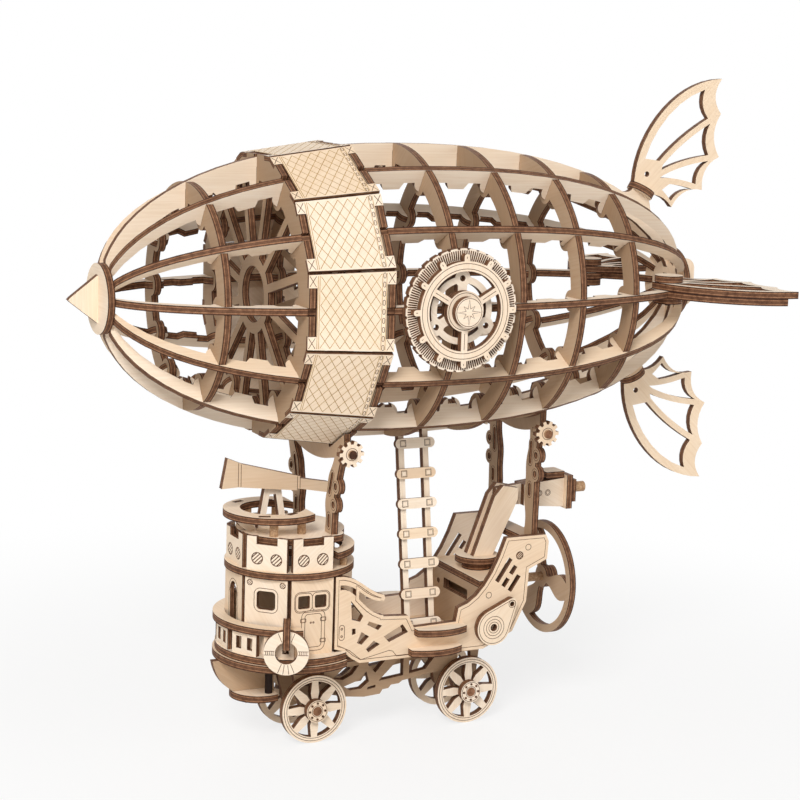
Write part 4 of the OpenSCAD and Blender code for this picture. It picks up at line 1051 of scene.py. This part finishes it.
def peg_tree():
    tree, given = new_tree("ring_of_pegs", {"Count": "Int", "Ring": "Float", "Radius": "Float",
                                            "Length": "Float", "Material": "Material"})
    ring = add(tree, "GeometryNodeMeshCircle", {"Vertices": given["Count"], "Radius": given["Ring"]})
    peg = add(tree, "GeometryNodeMeshCylinder",
              {"Vertices": PEG_SIDES, "Radius": given["Radius"], "Depth": given["Length"]})
    pegs = add(tree, "GeometryNodeInstanceOnPoints",
               {"Points": ring.outputs["Mesh"], "Instance": peg.outputs["Mesh"]})
    stood = add(tree, "GeometryNodeTransform",
                {"Geometry": pegs.outputs["Instances"], "Rotation": (math.pi / 2, 0, 0)})
    rings = add(tree, "GeometryNodeInstanceOnPoints",
                {"Points": given["Geometry"], "Instance": stood.outputs["Geometry"]})
    whole = add(tree, "GeometryNodeRealizeInstances", {"Geometry": rings.outputs["Instances"]})
    painted = add(tree, "GeometryNodeSetMaterial",
                  {"Geometry": whole.outputs["Geometry"], "Material": given["Material"]})
    add(tree, "NodeGroupOutput", {"Geometry": painted.outputs["Geometry"]})
    return tree


PEG_TREE = peg_tree()
for body, faces in sorted(hub_faces.items()):
    mesh = bpy.data.meshes.new("hubs")
    mesh.from_pydata(faces, [], [])
    piece = grow(body + "_hub_pegs", mesh, PEG_TREE,
                 {"Count": PEGS, "Ring": PEG_RING_MM * MM, "Radius": PEG_MM * MM,
                  "Length": PEG_LONG_MM * MM, "Material": LINE})
    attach(piece, body)
    print(piece.name, len(piece.data.polygons))

# %% [markdown]
# ## Floor and sky
# The floor is white board that keeps a soft shadow near the model and melts into the white backdrop
# further out: seen from the camera it glows, more so with distance, and to the lamps it is plain
# board. The sky is white to the eye as well, but lights the wood only softly.

# %% White stage
FADE_NEAR = 0.12
FADE_FAR = 0.4
GLOW_NEAR = 0.76
FLOOR_R = 6.0
AMBIENT = 0.32


def seen_by_eye(tree):
    path = add(tree, "ShaderNodeLightPath").outputs
    eye = add(tree, "ShaderNodeMath", {0: path["Is Camera Ray"], 1: path["Is Glossy Ray"]},
              operation="MAXIMUM")
    return eye.outputs["Value"]


def floor_board():
    material, tree = new_material("white_board_floor")
    place = add(tree, "ShaderNodeTexCoord").outputs["Object"]
    away = add(tree, "ShaderNodeVectorMath", {0: place}, operation="LENGTH")
    fade = add(tree, "ShaderNodeMapRange",
               {"Value": away.outputs["Value"], "From Min": FADE_NEAR, "From Max": FADE_FAR,
                "To Min": GLOW_NEAR, "To Max": 1.0}, interpolation_type="SMOOTHSTEP")
    share = add(tree, "ShaderNodeMath", {0: fade.outputs["Result"], 1: seen_by_eye(tree)},
                operation="MULTIPLY")
    board = add(tree, "ShaderNodeBsdfDiffuse", {"Color": linear("#F4F3F1")})
    glow = add(tree, "ShaderNodeEmission", {"Color": linear("#FFFFFF"), "Strength": 1.0})
    both = add(tree, "ShaderNodeMixShader",
               {0: share.outputs["Value"], 1: board.outputs["BSDF"], 2: glow.outputs["Emission"]})
    add(tree, "ShaderNodeOutputMaterial", {"Surface": both.outputs["Shader"]})
    return material


def white_sky():
    world = bpy.data.worlds.new("white_sky")
    world.use_nodes = True
    tree = world.node_tree
    tree.nodes.clear()
    soft = add(tree, "ShaderNodeBackground", {"Color": linear("#FFFFFF"), "Strength": AMBIENT})
    white = add(tree, "ShaderNodeBackground", {"Color": linear("#FFFFFF"), "Strength": 1.0})
    both = add(tree, "ShaderNodeMixShader", {0: seen_by_eye(tree), 1: soft.outputs["Background"],
                                             2: white.outputs["Background"]})
    add(tree, "ShaderNodeOutputWorld", {"Surface": both.outputs["Shader"]})
    return world


disc = bmesh.new()
bmesh.ops.create_circle(disc, cap_ends=True, segments=64, radius=FLOOR_R)
floor_mesh = bpy.data.meshes.new("floor")
disc.to_mesh(floor_mesh)
disc.free()
floor_mesh.materials.append(floor_board())
floor = bpy.data.objects.new("floor", floor_mesh)
bpy.context.scene.collection.objects.link(floor)
bpy.context.scene.world = white_sky()
print("floor radius", FLOOR_R, "ambient", AMBIENT)

# %% [markdown]
# ## Lamps
# A product photographer would use large soft boxes: one strong from the front left and above, a weak
# one from the right to open the shadows, and one behind for the far edges. Large discs give the same
# soft shadows. The plain view transform keeps the colours as they were written.

# %% Lamps and colour view
MIDDLE = (cad_box[0] + cad_box[1]) / 2
LAMPS = {"key_lamp": ((-0.75, -0.95, 0.95), 0.6, 16.5),
         "fill_lamp": ((0.9, -0.8, 0.35), 0.9, 2.6),
         "back_lamp": ((0.5, 1.1, 0.7), 0.9, 3.5)}
for name, (place, size, power) in LAMPS.items():
    light = bpy.data.lights.new(name, "AREA")
    light.shape = "DISK"
    light.size = size
    light.energy = power
    lamp = bpy.data.objects.new(name, light)
    lamp.location = place
    lamp.rotation_euler = (MIDDLE - Vector(place)).to_track_quat("-Z", "Y").to_euler()
    bpy.context.scene.collection.objects.link(lamp)
bpy.context.scene.view_settings.view_transform = "Standard"
print("lamps", list(LAMPS))

# %% [markdown]
# ## Camera
# The camera stands where the photographer stood. Its place, its turn and its focal length were
# worked out from the hull, the tower and the wheels, whose true places the CAD gives.

# %% Camera
CAMERA_PLACE = Vector((-0.38665, -0.768, 0.294))
YAW, PITCH, ROLL = (math.radians(a) for a in (26.463, 10.103, 1.798))
FOCAL_PX, IMAGE_PX, SENSOR_MM = 2065.05, 800, 36.0
ahead = Vector((math.sin(YAW) * math.cos(PITCH), math.cos(YAW) * math.cos(PITCH), -math.sin(PITCH)))
level = Vector((math.cos(YAW), -math.sin(YAW), 0))
upright = level.cross(ahead)
right = level * math.cos(ROLL) + upright * math.sin(ROLL)
up = upright * math.cos(ROLL) - level * math.sin(ROLL)
camera_data = bpy.data.cameras.new("camera")
camera_data.sensor_width = SENSOR_MM
camera_data.lens = FOCAL_PX / IMAGE_PX * SENSOR_MM
camera = bpy.data.objects.new("camera", camera_data)
turn = Matrix((right, up, -ahead)).transposed()
camera.matrix_world = Matrix.Translation(CAMERA_PLACE) @ turn.to_4x4()
bpy.context.scene.collection.objects.link(camera)
bpy.context.scene.camera = camera
print("lens", round(camera_data.lens, 2))
